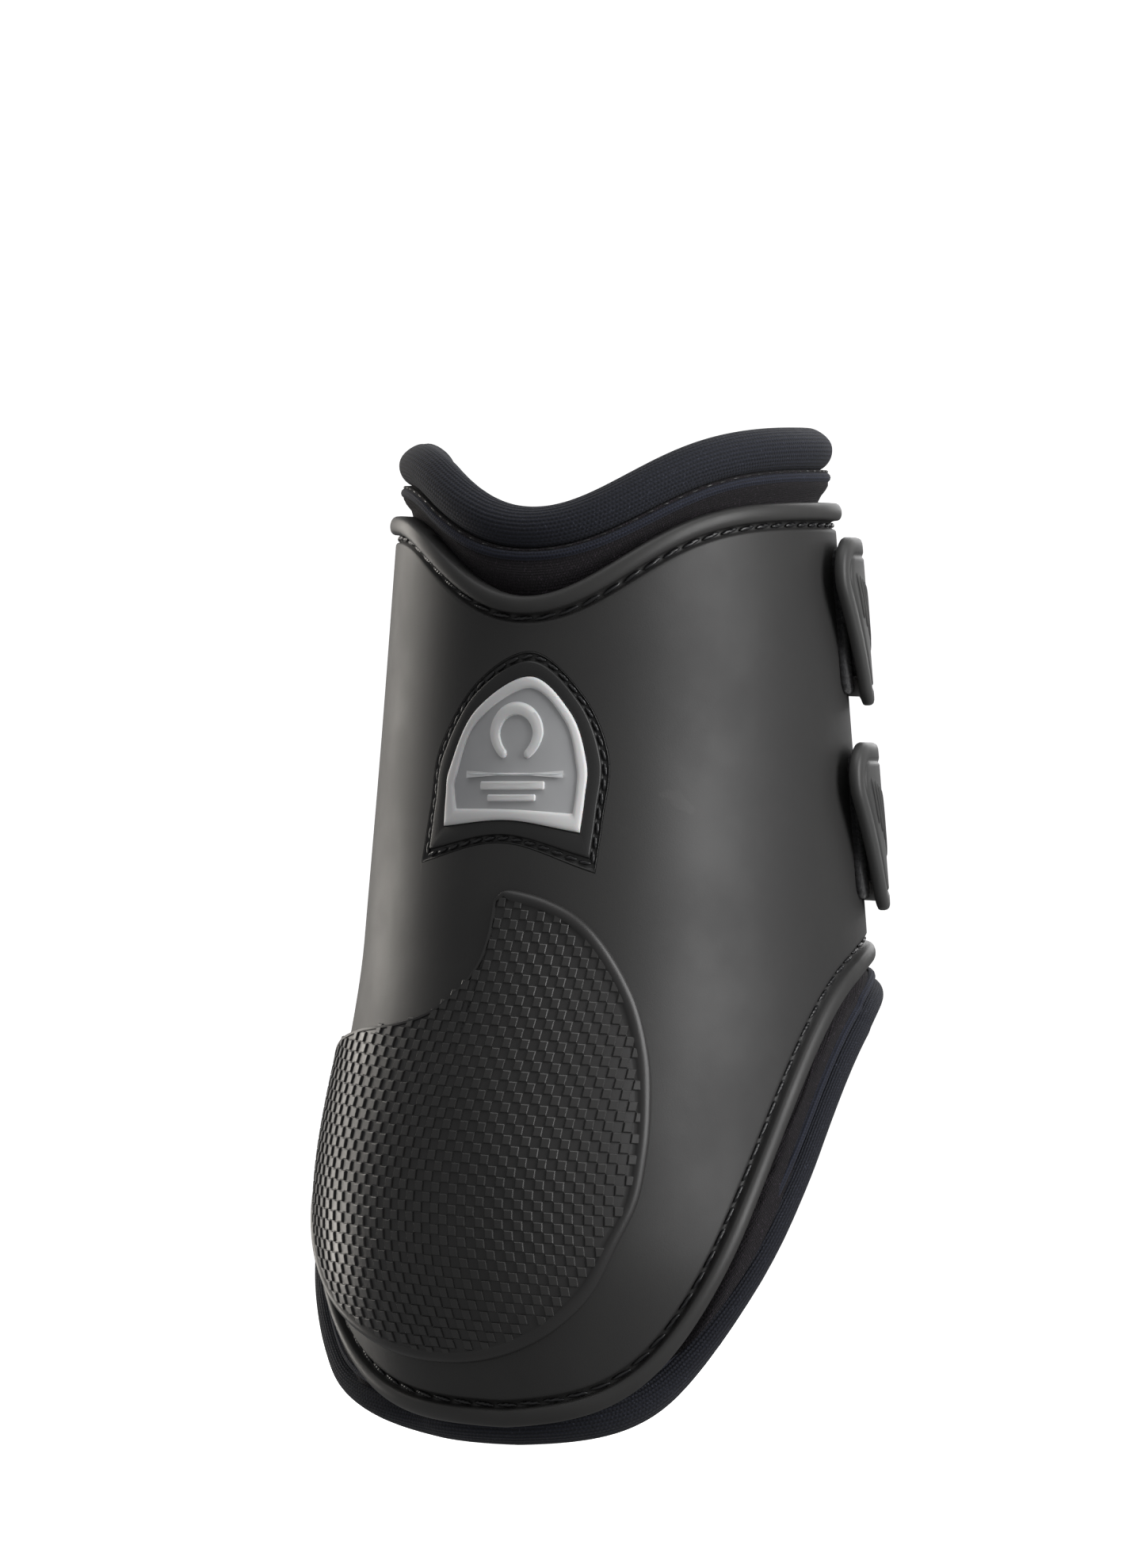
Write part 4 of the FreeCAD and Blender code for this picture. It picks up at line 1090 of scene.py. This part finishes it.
TAB_INNER, TAB_OUTER = 2.4, 4.6
tab_rings = [(1.6, TAB_INNER), (0.55, TAB_INNER), (0.16, TAB_INNER + 0.16), (0.0, TAB_INNER + 0.5),
             (0.0, TAB_OUTER - 1.0), (0.12, TAB_OUTER - 0.55), (0.42, TAB_OUTER - 0.2),
             (0.95, TAB_OUTER - 0.03), (1.5, TAB_OUTER), (2.5, TAB_OUTER), (2.75, TAB_OUTER - 0.1),
             (2.95, TAB_OUTER - 0.28), (3.5, TAB_OUTER - 0.28), (3.7, TAB_OUTER - 0.1),
             (3.95, TAB_OUTER)]
tabs = {}
for name, level in STRAP_LEVELS.items():
    radius = cone_radius(level) + TAB_OUTER
    length = math.radians(TAB_SPAN) * radius
    place = on_cone(TAB_START, level, radius)
    tab = ring_piece(name + "_tab_leaf", tab_outline(length), tab_rings, place,
                     centre=(length * 0.5, 0.0), fill_in=26, sharp=50)
    tabs[name] = tab
    print(tab.name, len(tab.data.polygons), "faces")

# %% Grip ribs on the tabs
def grip_rib(name, level, at, tilt, length):
    """Low rounded rib across the tip of a tab."""
    radius = cone_radius(level) + TAB_OUTER
    place = on_cone(TAB_START, level, radius)
    piece = flat_grid(name, 24, 10)
    grid = read_points(piece)
    turn = grid[:, 1] * 2 * math.pi
    full = np.sqrt(1 - (2 * grid[:, 0] - 1) ** 6 * 0.98)
    along = (grid[:, 0] - 0.5) * length
    x = at[0] + along * math.sin(tilt) + 0.5 * full * np.cos(turn) * math.cos(tilt)
    y = at[1] + along * math.cos(tilt) - 0.5 * full * np.cos(turn) * math.sin(tilt)
    write_points(piece, place(x, y, TAB_OUTER + 0.3 * full * np.sin(turn)))
    return close_up(piece, 60)


for name, level in STRAP_LEVELS.items():
    ribs = [grip_rib("%s_grip_%d" % (name, i), level, (8.6 + 2.6 * i, 4.6 - 1.0 * i), -0.42,
                     9.0 + 1.1 * i) for i in range(5)]
    bpy.ops.object.select_all(action="DESELECT")
    for piece in ribs + [tabs[name]]:
        piece.select_set(True)
    bpy.context.view_layer.objects.active = tabs[name]
    bpy.ops.object.join()
    write_crest_highlight(tabs[name], np.zeros(len(tabs[name].data.vertices)))
    reach = cone_radius(level) + TAB_OUTER
    fold = on_cone(TAB_START, level, reach)
    root = fold(np.radians(FOLD_BEARING + 3.5 - TAB_START) * reach, 0.0, 4.0)
    free = fold(np.radians(FOLD_BEARING - 3.5 - TAB_START) * reach, 0.0, 4.0)
    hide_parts(name + "_tab", name + "_tab_root")
    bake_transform(tabs[name])
print("tabs fold at", FOLD_BEARING, "degrees from the front")

# %% [markdown]
# ## Elastic, anchor plates and patches
# The elastic is a ribbed webbing 24 mm wide. It is sewn under the tab at one end
# and under a moulded anchor plate at the other. The hook patch is glued under the
# tab and the loop patch on the shell.

# %% Lay the elastics
ELASTIC_START, ELASTIC_SPAN = -21.0, 102.0


def webbing(name, level):
    """Band with a ribbed face: each cord of the webbing is two rows of the grid."""
    columns, cords, half = 150, 16, 12.0
    face = [(half * (i / cords - 1), 0.0 if i % 2 else -0.1) for i in range(2 * cords + 1)]
    section = [(y, 2.0 + d) for y, d in face] + [(y, 0.6 - d) for y, d in face[::-1]]
    section[0], section[2 * cords] = (-half, 1.6), (half, 1.6)
    section[2 * cords + 1], section[-1] = (half, 1.0), (-half, 1.0)
    section = np.array(section)
    piece = flat_grid(name, columns, len(section))
    grid = read_points(piece)
    row = np.rint(grid[:, 1] * len(section)).astype(int) % len(section)
    radius = cone_radius(level) + 1.3
    length = math.radians(ELASTIC_SPAN) * radius
    place = on_cone(ELASTIC_START, level, radius)
    ripple = 0.03 * np.sin(grid[:, 0] * length * 2 * math.pi / 1.4)
    write_points(piece, place(grid[:, 0] * length, section[row, 0], section[row, 1] + ripple))
    write_cloth(piece, grid[:, 0] * length * MM, section[row, 0] * MM)
    return close_up(piece, 50)


for name, level in STRAP_LEVELS.items():
    elastic = webbing(name + "_elastic_web", level)
    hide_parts(name + "_elastic")
    hold = on_cone(0.0, level, 1.0)
    boot_side = hold(math.radians(SWING_BEARING + 1.75), 0.0, 1.3)
    strap_side = hold(math.radians(SWING_BEARING - 2.75), 0.0, 1.3)
    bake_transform(elastic)
    print(elastic.name, len(elastic.data.polygons), "faces")

# %% Anchor plates and patches
anchor_rings = [(1.2, 2.02), (0.5, 2.02), (0.1, 2.1), (0.0, 2.3), (0.1, 2.7), (0.4, 2.95),
                (0.9, 3.05), (1.8, 3.05), (2.0, 2.9), (2.2, 2.82), (2.9, 2.82), (3.1, 2.9),
                (3.3, 3.05)]
patch_rings = [(0.6, 0.02), (0.1, 0.05), (0.0, 0.3), (0.1, 0.75), (0.5, 1.0), (1.2, 1.04)]


def cone_slab(name, level, start, end, height, rings, corner, lift=0.0):
    radius = cone_radius(level) + 1.0
    length = math.radians(end - start) * radius
    outline = dense(bar_outline(length, height, length / 2, 0.0, corner, 7), 0.9)
    return ring_piece(name, outline, [(d, h + lift) for d, h in rings],
                      on_cone(start, level, radius), centre=(length / 2, 0.0), fill_in=12,
                      sharp=50)


for name, level in STRAP_LEVELS.items():
    plate = cone_slab(name + "_anchor_mould", level, 73.6, 94.4, 27.0, anchor_rings, 3.0)
    loop = cone_slab(name + "_loop_tape", level, -85.0, -35.0, 26.0, patch_rings, 3.0)
    hook = cone_slab(name + "_hook_tape", level, -78.0, -37.0, 20.0, patch_rings, 2.5, lift=1.3)
    for piece, node, finish, body in ((plate, "_anchor_plate", "tab_rubber", "boot"),
                                      (loop, "_loop_patch", "loop_tape", "boot"),
                                      (hook, "_hook_patch", "hook_tape", "_tab_body")):
        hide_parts(name + node)
        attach(piece, body if body == "boot" else name + body)
print("anchor plates and patches laid")

# %% Sewing of the straps
strap_stitch = one_stitch("strap_stitch", 2.3, 0.3)
for name, level in STRAP_LEVELS.items():
    for seam, start, end, offset, body, node in (
            ("tab_sewing", -19.3, -11.6, TAB_OUTER + 0.02, name + "_strap", "_tab_stitches"),
            ("anchor_sewing", 78.8, 91.2, 3.12, "boot", "_anchor_stitches")):
        radius = cone_radius(level) + offset
        length = math.radians(end - start) * radius
        place = on_cone(start, level, radius)
        ring = dense(bar_outline(length, 19.5, length / 2, 0.0, 0.6), 0.4)
        ring = np.vstack([ring, ring[:1]])
        path = place(ring[:, 0], ring[:, 1], np.full(len(ring), offset))
        outward = place(ring[:, 0], ring[:, 1], np.full(len(ring), offset + 1.0)) - path
        sewing = sew("%s_%s" % (name, seam), strap_stitch, path, outward, 3.2)
        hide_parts(name + node)
        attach(sewing, body)
remove(strap_stitch)
print("strap sewing done")

# %% [markdown]
# # Finishes
# Every finish is made of nodes. What several finishes share, such as the fine
# grain of a moulding or the ribs of a knit, is a node group that puts out masks
# and a normal, and each material keeps its own shader. Patterns that follow the
# cloth read the flat sizes kept in the UV map, and the rest read the object's
# own place in metres.

# %% Node helpers
def node(tree, kind, settings=None, **values):
    """Add a node, set its options and its sockets. A socket may be given another node's output."""
    made = tree.nodes.new(kind)
    for key, value in (settings or {}).items():
        setattr(made, key, value)
    for key, value in values.items():
        socket = made.inputs[int(key[1:])] if key[0] == "_" else made.inputs[key.replace("_", " ")]
        if isinstance(value, bpy.types.NodeSocket):
            tree.links.new(value, socket)
        else:
            socket.default_value = value
    return made


def calc(tree, operation, *values):
    """Math node; returns its output."""
    return node(tree, "ShaderNodeMath", {"operation": operation},
                **{"_%d" % i: v for i, v in enumerate(values)}).outputs[0]


def ease(tree, value, low, high, start=0.0, end=1.0):
    """Value mapped from low..high to start..end, with soft ends."""
    return node(tree, "ShaderNodeMapRange", {"interpolation_type": "SMOOTHSTEP"}, _0=value,
                _1=low, _2=high, _3=start, _4=end).outputs[0]


def blend_colour(tree, share, first, second):
    mix = node(tree, "ShaderNodeMix", {"data_type": "RGBA"})
    tree.links.new(share, mix.inputs[0])
    for index, value in ((6, first), (7, second)):
        if isinstance(value, bpy.types.NodeSocket):
            tree.links.new(value, mix.inputs[index])
        else:
            mix.inputs[index].default_value = value
    return mix.outputs[2]


def new_group(name, inputs, outputs):
    group = bpy.data.node_groups.new(name, "ShaderNodeTree")
    for label, kind, value in inputs:
        socket = group.interface.new_socket(label, in_out="INPUT", socket_type=kind)
        if value is not None:
            socket.default_value = value
    for label, kind in outputs:
        group.interface.new_socket(label, in_out="OUTPUT", socket_type=kind)
    return group, group.nodes.new("NodeGroupInput"), group.nodes.new("NodeGroupOutput")


def colour(red, green, blue):
    return (red, green, blue, 1.0)


print("node helpers ready")

# %% [markdown]
# ## Moulded skin
# A moulded rubber or soft plastic is never one tone. It has a fine spark-eroded
# grain, broad clouds where the skin cooled at its own pace, and a few handling
# marks. The group gives the normal of the grain, the clouds and the marks.

# %% Group for moulded skin
skin_group, skin_in, skin_out = new_group(
    "moulded_skin", [("Grain", "NodeSocketFloat", 3600.0), ("Depth", "NodeSocketFloat", 0.3)],
    [("Normal", "NodeSocketVector"), ("Clouds", "NodeSocketFloat"), ("Marks", "NodeSocketFloat")])
place_of = node(skin_group, "ShaderNodeTexCoord").outputs["Object"]
grain = node(skin_group, "ShaderNodeTexNoise", Vector=place_of, Scale=skin_in.outputs["Grain"],
             Detail=3.0, Roughness=0.6).outputs[0]
wide_grain = node(skin_group, "ShaderNodeTexNoise", Vector=place_of, Scale=320.0, Detail=4.0,
                  Roughness=0.5).outputs[0]
clouds = node(skin_group, "ShaderNodeTexNoise", Vector=place_of, Scale=34.0, Detail=5.0,
              Roughness=0.55).outputs[0]
stretched = node(skin_group, "ShaderNodeMapping", Vector=place_of, Rotation=(0.5, 0.7, 0.4),
                 Scale=(1.0, 0.08, 1.0)).outputs[0]
streaks = node(skin_group, "ShaderNodeTexNoise", Vector=stretched, Scale=260.0, Detail=2.0,
               Roughness=0.4).outputs[0]
patches = ease(skin_group, clouds, 0.56, 0.7)
marks = calc(skin_group, "MULTIPLY", ease(skin_group, streaks, 0.66, 0.74), patches)
height = calc(skin_group, "ADD", calc(skin_group, "MULTIPLY", grain, 0.7),
              calc(skin_group, "MULTIPLY", wide_grain, 0.6))
bump = node(skin_group, "ShaderNodeBump", Strength=skin_in.outputs["Depth"], Distance=0.00006,
            Height=height).outputs[0]
skin_group.links.new(bump, skin_out.inputs["Normal"])
skin_group.links.new(clouds, skin_out.inputs["Clouds"])
skin_group.links.new(marks, skin_out.inputs["Marks"])
print("group:", skin_group.name)


# %% Moulded finishes
def new_finish(name, **shader_values):
    material = bpy.data.materials.new(name)
    material.use_nodes = True
    tree = material.node_tree
    shader = tree.nodes["Principled BSDF"]
    for key, value in shader_values.items():
        shader.inputs[key.replace("_", " ")].default_value = value
    return material, tree, shader


def moulded(name, dark, light, rubbed, rough, grain_size=3600.0, grain_depth=0.3,
            **shader_values):
    """Moulded rubber or plastic between two close tones, with a painted highlight on raised crests
    and paler handling marks.
    """
    material, tree, shader = new_finish(name, **shader_values)
    group = node(tree, "ShaderNodeGroup", {"node_tree": skin_group}, Grain=grain_size,
                 Depth=grain_depth)
    rub = node(tree, "ShaderNodeAttribute", {"attribute_name": "rub"}).outputs["Fac"]
    tone = blend_colour(tree, ease(tree, group.outputs["Clouds"], 0.35, 0.65), dark, light)
    # Painted highlight: raised crests are blended towards the pale tone, patchy through the clouds,
    # and made a little glossier.
    painted_crest_highlight = calc(tree, "MULTIPLY", rub, ease(tree, group.outputs["Clouds"], 0.3, 0.6, 0.35, 1.0))
    tone = blend_colour(tree, calc(tree, "MULTIPLY", painted_crest_highlight, 0.55), tone, rubbed)
    tone = blend_colour(tree, calc(tree, "MULTIPLY", group.outputs["Marks"], 0.5), tone, rubbed)
    tree.links.new(tone, shader.inputs["Base Color"])
    roughness = ease(tree, group.outputs["Clouds"], 0.3, 0.7, rough + 0.05, rough - 0.05)
    roughness = calc(tree, "SUBTRACT", roughness, calc(tree, "MULTIPLY", painted_crest_highlight, 0.07))
    tree.links.new(roughness, shader.inputs["Roughness"])
    tree.links.new(group.outputs["Normal"], shader.inputs["Normal"])
    return material


# The third tone of each finish is both its painted crest highlight and the colour of its handling
# marks.
shell_finish = moulded("shell_moulding", colour(0.026, 0.0255, 0.0255),
                       colour(0.032, 0.0315, 0.031), colour(0.052, 0.051, 0.05), 0.52,
                       Specular_IOR_Level=0.5)
plate_finish = moulded("plate_moulding", colour(0.024, 0.0235, 0.0235),
                       colour(0.03, 0.029, 0.029), colour(0.045, 0.044, 0.043), 0.42, 5200.0, 0.2,
                       Specular_IOR_Level=0.55)
badge_dark_finish = moulded("badge_dark_rubber", colour(0.016, 0.016, 0.0165),
                            colour(0.022, 0.022, 0.022), colour(0.05, 0.05, 0.05), 0.45)
badge_light_finish = moulded("badge_white_rubber", colour(0.74, 0.74, 0.75),
                             colour(0.82, 0.82, 0.82), colour(0.85, 0.85, 0.85), 0.42, 4200.0,
                             0.12, Subsurface_Weight=0.12, Subsurface_Scale=0.001)
badge_grey_finish = moulded("badge_grey_rubber", colour(0.42, 0.425, 0.44),
                            colour(0.5, 0.505, 0.515), colour(0.6, 0.6, 0.6), 0.5, 4200.0, 0.15)
tab_finish = moulded("tab_rubber", colour(0.05, 0.05, 0.05), colour(0.062, 0.062, 0.061),
                     colour(0.1, 0.1, 0.1), 0.46, 4200.0, 0.22)
gel_finish = moulded("cast_gel", colour(0.07, 0.075, 0.085), colour(0.1, 0.105, 0.115),
                     colour(0.12, 0.12, 0.12), 0.24, 1400.0, 0.1, Subsurface_Weight=0.3,
                     Subsurface_Scale=0.004, Coat_Weight=0.3, Coat_Roughness=0.2)
print("moulded finishes made")

# %% [markdown]
# ## Knit and weave
# The rolls wear a fine ribbed knit of dark blue yarn with a few paler fibres in
# it, so the colour is heathered. The band beside them is a smoother, fuzzier knit
# with a purple cast. Ribs are a sine across the cloth and loops are a sine along
# it, shifted by half a loop on every other rib. The valleys between the ribs are
# painted darker, as painted shade.

# %% Group for ribbed cloth
cloth_group, cloth_in, cloth_out = new_group(
    "ribbed_cloth",
    [("Cloth", "NodeSocketVector", None), ("Rib", "NodeSocketFloat", 0.00075),
     ("Loop", "NodeSocketFloat", 0.0006), ("Fuzz", "NodeSocketFloat", 0.5),
     ("Depth", "NodeSocketFloat", 1.0)],
    [("Normal", "NodeSocketVector"), ("Ridge", "NodeSocketFloat"), ("Fibre", "NodeSocketFloat")])
flat_place = node(cloth_group, "ShaderNodeSeparateXYZ", Vector=cloth_in.outputs["Cloth"])
fibre_place = node(cloth_group, "ShaderNodeTexCoord").outputs["Object"]
wander = node(cloth_group, "ShaderNodeTexNoise", Vector=fibre_place, Scale=420.0, Detail=2.0)
wobble = calc(cloth_group, "MULTIPLY", calc(cloth_group, "SUBTRACT", wander.outputs[0], 0.5), 1.6)
rib_turn = calc(cloth_group, "DIVIDE", flat_place.outputs[1], cloth_in.outputs["Rib"])
rib_angle = calc(cloth_group, "ADD", calc(cloth_group, "MULTIPLY", rib_turn, 2 * math.pi), wobble)
loop_turn = calc(cloth_group, "DIVIDE", flat_place.outputs[0], cloth_in.outputs["Loop"])
shift = calc(cloth_group, "MULTIPLY", calc(cloth_group, "FLOOR", rib_turn), math.pi)
loop_angle = calc(cloth_group, "ADD", calc(cloth_group, "MULTIPLY", loop_turn, 2 * math.pi), shift)
rib_wave = calc(cloth_group, "MULTIPLY_ADD", calc(cloth_group, "SINE", rib_angle), 0.5, 0.5)
loop_wave = calc(cloth_group, "MULTIPLY_ADD", calc(cloth_group, "SINE", loop_angle), 0.5, 0.5)
fibre = node(cloth_group, "ShaderNodeTexNoise", Vector=fibre_place, Scale=2600.0, Detail=4.0,
             Roughness=0.75).outputs[0]
loops = calc(cloth_group, "MULTIPLY", loop_wave, 0.45)
relief = calc(cloth_group, "ADD", calc(cloth_group, "ADD", rib_wave, loops),
              calc(cloth_group, "MULTIPLY", fibre, cloth_in.outputs["Fuzz"]))
cloth_bump = node(cloth_group, "ShaderNodeBump", Strength=cloth_in.outputs["Depth"],
                  Distance=0.00014, Height=relief).outputs[0]
cloth_group.links.new(cloth_bump, cloth_out.inputs["Normal"])
cloth_group.links.new(calc(cloth_group, "MULTIPLY", rib_wave,
                           calc(cloth_group, "MULTIPLY_ADD", loop_wave, 0.4, 0.6)),
                      cloth_out.inputs["Ridge"])
cloth_group.links.new(fibre, cloth_out.inputs["Fibre"])
print("group:", cloth_group.name)


# %% Cloth finishes
def cloth(name, deep, face, fleck, rib, loop, fuzz, depth, rough=0.85, fleck_low=0.58,
          fleck_high=0.72, **shader_values):
    """Knit or weave: deep colour as painted shade between the ribs, face colour on them, flecks of
    paler fibre.
    """
    material, tree, shader = new_finish(name, Roughness=rough, **shader_values)
    flat = node(tree, "ShaderNodeUVMap", {"uv_map": "cloth"}).outputs[0]
    group = node(tree, "ShaderNodeGroup", {"node_tree": cloth_group}, Cloth=flat, Rib=rib,
                 Loop=loop, Fuzz=fuzz, Depth=depth)
    # Painted shade: the valleys between the ribs take the deep colour.
    tone = blend_colour(tree, group.outputs["Ridge"], deep, face)
    flecks = ease(tree, group.outputs["Fibre"], fleck_low, fleck_high)
    tone = blend_colour(tree, flecks, tone, fleck)
    tree.links.new(tone, shader.inputs["Base Color"])
    tree.links.new(group.outputs["Normal"], shader.inputs["Normal"])
    return material, tree, shader, tone


# The first colour of each cloth is the painted shade in its rib valleys.
roll_finish = cloth("ribbed_navy_knit", colour(0.0035, 0.0045, 0.009),
                    colour(0.014, 0.0165, 0.029), colour(0.075, 0.082, 0.12), 0.00078, 0.0007, 0.8,
                    1.0, Sheen_Weight=0.04, Sheen_Roughness=0.4)[0]
piping_finish = cloth("navy_piping_knit", colour(0.005, 0.006, 0.013),
                      colour(0.018, 0.022, 0.042), colour(0.06, 0.07, 0.11), 0.0007, 0.0006, 0.5,
                      0.8, Sheen_Weight=0.05, Sheen_Roughness=0.4)[0]
binding_finish = cloth("front_binding_weave", colour(0.006, 0.006, 0.008),
                       colour(0.016, 0.016, 0.02), colour(0.03, 0.03, 0.036), 0.0009, 0.0009,
                       0.2, 0.8, Sheen_Weight=0.08)[0]
elastic_finish = cloth("ribbed_elastic_weave", colour(0.006, 0.006, 0.007),
                       colour(0.02, 0.02, 0.022), colour(0.045, 0.045, 0.05), 0.0015, 0.0007,
                       0.15, 0.9, Sheen_Weight=0.1)[0]
loop_finish = cloth("loop_pile", colour(0.005, 0.005, 0.006), colour(0.014, 0.014, 0.016),
                    colour(0.03, 0.03, 0.033), 0.0014, 0.0012, 1.6, 1.0, 0.95,
                    Sheen_Weight=0.3)[0]
hook_finish = cloth("hook_tape", colour(0.004, 0.004, 0.004), colour(0.02, 0.02, 0.021),
                    colour(0.035, 0.035, 0.036), 0.0013, 0.0013, 0.2, 1.0, 0.5)[0]
print("cloth finishes made")

# %% Padding finish, fuzzy outside and perforated inside, with the holes as painted shade
padding_finish, padding_tree, padding_shader, padding_tone = cloth(
    "padding_knit", colour(0.004, 0.003, 0.0045), colour(0.012, 0.0085, 0.0125),
    colour(0.085, 0.06, 0.085), 0.0006, 0.0006, 1.8, 1.0, 0.95, 0.57, 0.7, Sheen_Weight=0.04,
    Sheen_Roughness=0.5)
inner_face = node(padding_tree, "ShaderNodeAttribute", {"attribute_name": "rub"}).outputs["Fac"]
padding_flat = node(padding_tree, "ShaderNodeUVMap", {"uv_map": "cloth"}).outputs[0]
holes = node(padding_tree, "ShaderNodeTexVoronoi", {"voronoi_dimensions": "2D"},
             Vector=padding_flat, Scale=210.0, Randomness=0.0).outputs["Distance"]
# Painted shade: the perforation holes of the inner face are painted near black.
hole_shade = calc(padding_tree, "MULTIPLY", ease(padding_tree, holes, 0.2, 0.16), inner_face)
lining = blend_colour(padding_tree, calc(padding_tree, "MULTIPLY", inner_face, 0.6), padding_tone,
                      colour(0.03, 0.03, 0.034))
lining = blend_colour(padding_tree, hole_shade, lining, colour(0.002, 0.002, 0.002))
padding_tree.links.new(lining, padding_shader.inputs["Base Color"])
print("padding finish made")


# %% Thread finish
thread_finish, thread_tree, thread_shader = new_finish("bonded_thread", Roughness=0.36,
                                                       Specular_IOR_Level=0.6)
thread_place = node(thread_tree, "ShaderNodeTexCoord").outputs["Object"]
twist = node(thread_tree, "ShaderNodeTexWave", {"bands_direction": "DIAGONAL"},
             Vector=thread_place, Scale=520.0, Distortion=1.5, Detail=1.0).outputs["Fac"]
# Painted highlight: the ply ridges that the twist wave bumps up are also painted lighter.
thread_tree.links.new(blend_colour(thread_tree, twist, colour(0.004, 0.004, 0.005),
                                   colour(0.018, 0.018, 0.02)), thread_shader.inputs["Base Color"])
thread_tree.links.new(node(thread_tree, "ShaderNodeBump", Strength=0.8, Distance=0.00008,
                           Height=twist).outputs[0], thread_shader.inputs["Normal"])
print("thread finish made")


# %% Put each finish on its pieces
def wear(finish, *pieces):
    for piece in pieces:
        piece.data.materials.clear()
        piece.data.materials.append(finish)


wear(shell_finish, strike_shell)
wear(plate_finish, strike_plate, plate_tiles)
wear(badge_dark_finish, badge_panel)
wear(badge_light_finish, badge_rim, badge_relief)
wear(badge_grey_finish, badge_field)
wear(roll_finish, top_roll, hem_roll)
wear(piping_finish, top_piping, hem_piping)
wear(padding_finish, padding)
wear(binding_finish, outer_binding, inner_binding)
wear(gel_finish, tendon_pad, fetlock_pad)
wear(thread_finish, top_sewing, hem_sewing, badge_sewing, piping_sewing)
for name in STRAP_LEVELS:
    wear(tab_finish, tabs[name], bpy.data.objects[name + "_anchor_mould"])
    wear(elastic_finish, bpy.data.objects[name + "_elastic_web"])
    wear(loop_finish, bpy.data.objects[name + "_loop_tape"])
    wear(hook_finish, bpy.data.objects[name + "_hook_tape"])
    wear(thread_finish, bpy.data.objects[name + "_tab_sewing"],
         bpy.data.objects[name + "_anchor_sewing"])

# %% [markdown]
# # Studio
# The boot stands on a pale sweep that curves up all round, so no horizon shows
# from any side. A large soft lamp from the right lays a broad sheen on the outer
# side, a warm one from behind on the left draws the bright line down the edge, and
# weaker ones from above and from the front shape the rolls and the opening.

# %% Pale sweep
sweep = flat_grid("studio_sweep", 96, 40)
sweep_grid = read_points(sweep)
turn = sweep_grid[:, 0] * 2 * math.pi
FLOOR_REACH, BEND = 5.4, 2.0
out = sweep_grid[:, 1] * 13.0  # far enough for a long lens from any side
bend = np.clip(out - FLOOR_REACH, 0, BEND * math.pi / 2) / BEND
reach = np.where(out < FLOOR_REACH, out, FLOOR_REACH + BEND * np.sin(bend))
rise = BEND * (1 - np.cos(bend)) + np.clip(out - FLOOR_REACH - BEND * math.pi / 2, 0, None)
write_points(sweep, np.stack([reach * np.cos(turn), reach * np.sin(turn),
                              rise + cad_box[0].z - 0.0002], -1))
close_up(sweep, 60, fill=False)
bpy.ops.object.mode_set(mode="EDIT")
bpy.ops.mesh.select_all(action="SELECT")
bpy.ops.mesh.normals_make_consistent(inside=True)
bpy.ops.object.mode_set(mode="OBJECT")
sweep_finish, sweep_tree, sweep_shader = new_finish("pale_sweep", Roughness=0.9,
                                                    Emission_Strength=0.9,
                                                    Emission_Color=(1.0, 1.0, 1.0, 1.0),
                                                    Specular_IOR_Level=0.2)
sweep_noise = node(sweep_tree, "ShaderNodeTexNoise", Scale=3.0,
                   Vector=node(sweep_tree, "ShaderNodeTexCoord").outputs["Object"]).outputs[0]
sweep_tree.links.new(blend_colour(sweep_tree, sweep_noise, colour(0.86, 0.86, 0.86),
                                  colour(0.9, 0.9, 0.9)), sweep_shader.inputs["Base Color"])
wear(sweep_finish, sweep)
sweep.visible_diffuse = sweep.visible_glossy = False
print("sweep made")

# %% Camera at the boot's outer back
back = Vector((-0.9397, -0.3420, 0.0))
right = Vector((0.3420, -0.9397, 0.0))
camera_data = bpy.data.cameras.new("studio_camera")
camera_data.lens = 600.0
camera_data.sensor_width = 36.0
camera_data.clip_start, camera_data.clip_end = 0.1, 40.0
camera = bpy.data.objects.new("studio_camera", camera_data)
bpy.context.collection.objects.link(camera)
camera.location = right * -0.0086 + Vector((0, 0, 0.118)) + back * 4.7
camera.rotation_mode = "QUATERNION"
camera.rotation_quaternion = (-back).to_track_quat("-Z", "Y")
bpy.context.scene.camera = camera
print("camera at", [round(c, 3) for c in camera.location])


# %% Lamps
def soft_lamp(name, place, aim, width, height, power, tint=(1.0, 1.0, 1.0)):
    data = bpy.data.lights.new(name, "AREA")
    data.shape = "RECTANGLE"
    data.size, data.size_y = width, height
    data.energy = power
    data.color = tint
    lamp = bpy.data.objects.new(name, data)
    bpy.context.collection.objects.link(lamp)
    lamp.location = place
    lamp.rotation_mode = "QUATERNION"
    lamp.rotation_quaternion = (Vector(aim) - Vector(place)).to_track_quat("-Z", "Y")
    lamp.visible_camera = False
    return lamp


# The sweep is seen but lends no light, so the lamps alone shape the dark mouldings.
aim = Vector((0.0, 0.0, 0.09))
key_lamp = soft_lamp("key_lamp", right * 0.9 + back * 0.46 + Vector((0, 0, 0.42)), aim, 0.6, 0.9,
                     9.5)
edge_lamp = soft_lamp("edge_lamp", right * -0.76 - back * 0.7 + Vector((0, 0, 0.3)), aim, 0.35, 1.0,
                      6.0, (1.0, 0.95, 0.88))
top_lamp = soft_lamp("top_lamp", back * 0.25 + Vector((0, 0, 1.1)), aim, 0.8, 0.8, 3.0)
front_lamp = soft_lamp("front_lamp", right * 0.3 - back * 1.1 + Vector((0, 0, 0.6)), aim, 0.8, 0.8,
                       5.0)
world = bpy.data.worlds.new("studio_air")
bpy.context.scene.world = world
world.use_nodes = True
world.node_tree.nodes["Background"].inputs["Color"].default_value = (1.0, 1.0, 1.0, 1.0)
world.node_tree.nodes["Background"].inputs["Strength"].default_value = 0.25
bpy.context.scene.view_settings.view_transform = "Standard"
print("lamps:", key_lamp.name, edge_lamp.name, top_lamp.name, front_lamp.name)

# %% Size of the imported model's box, and the end
print("cad box", [round(c, 4) for c in cad_box[0]], [round(c, 4) for c in cad_box[1]])
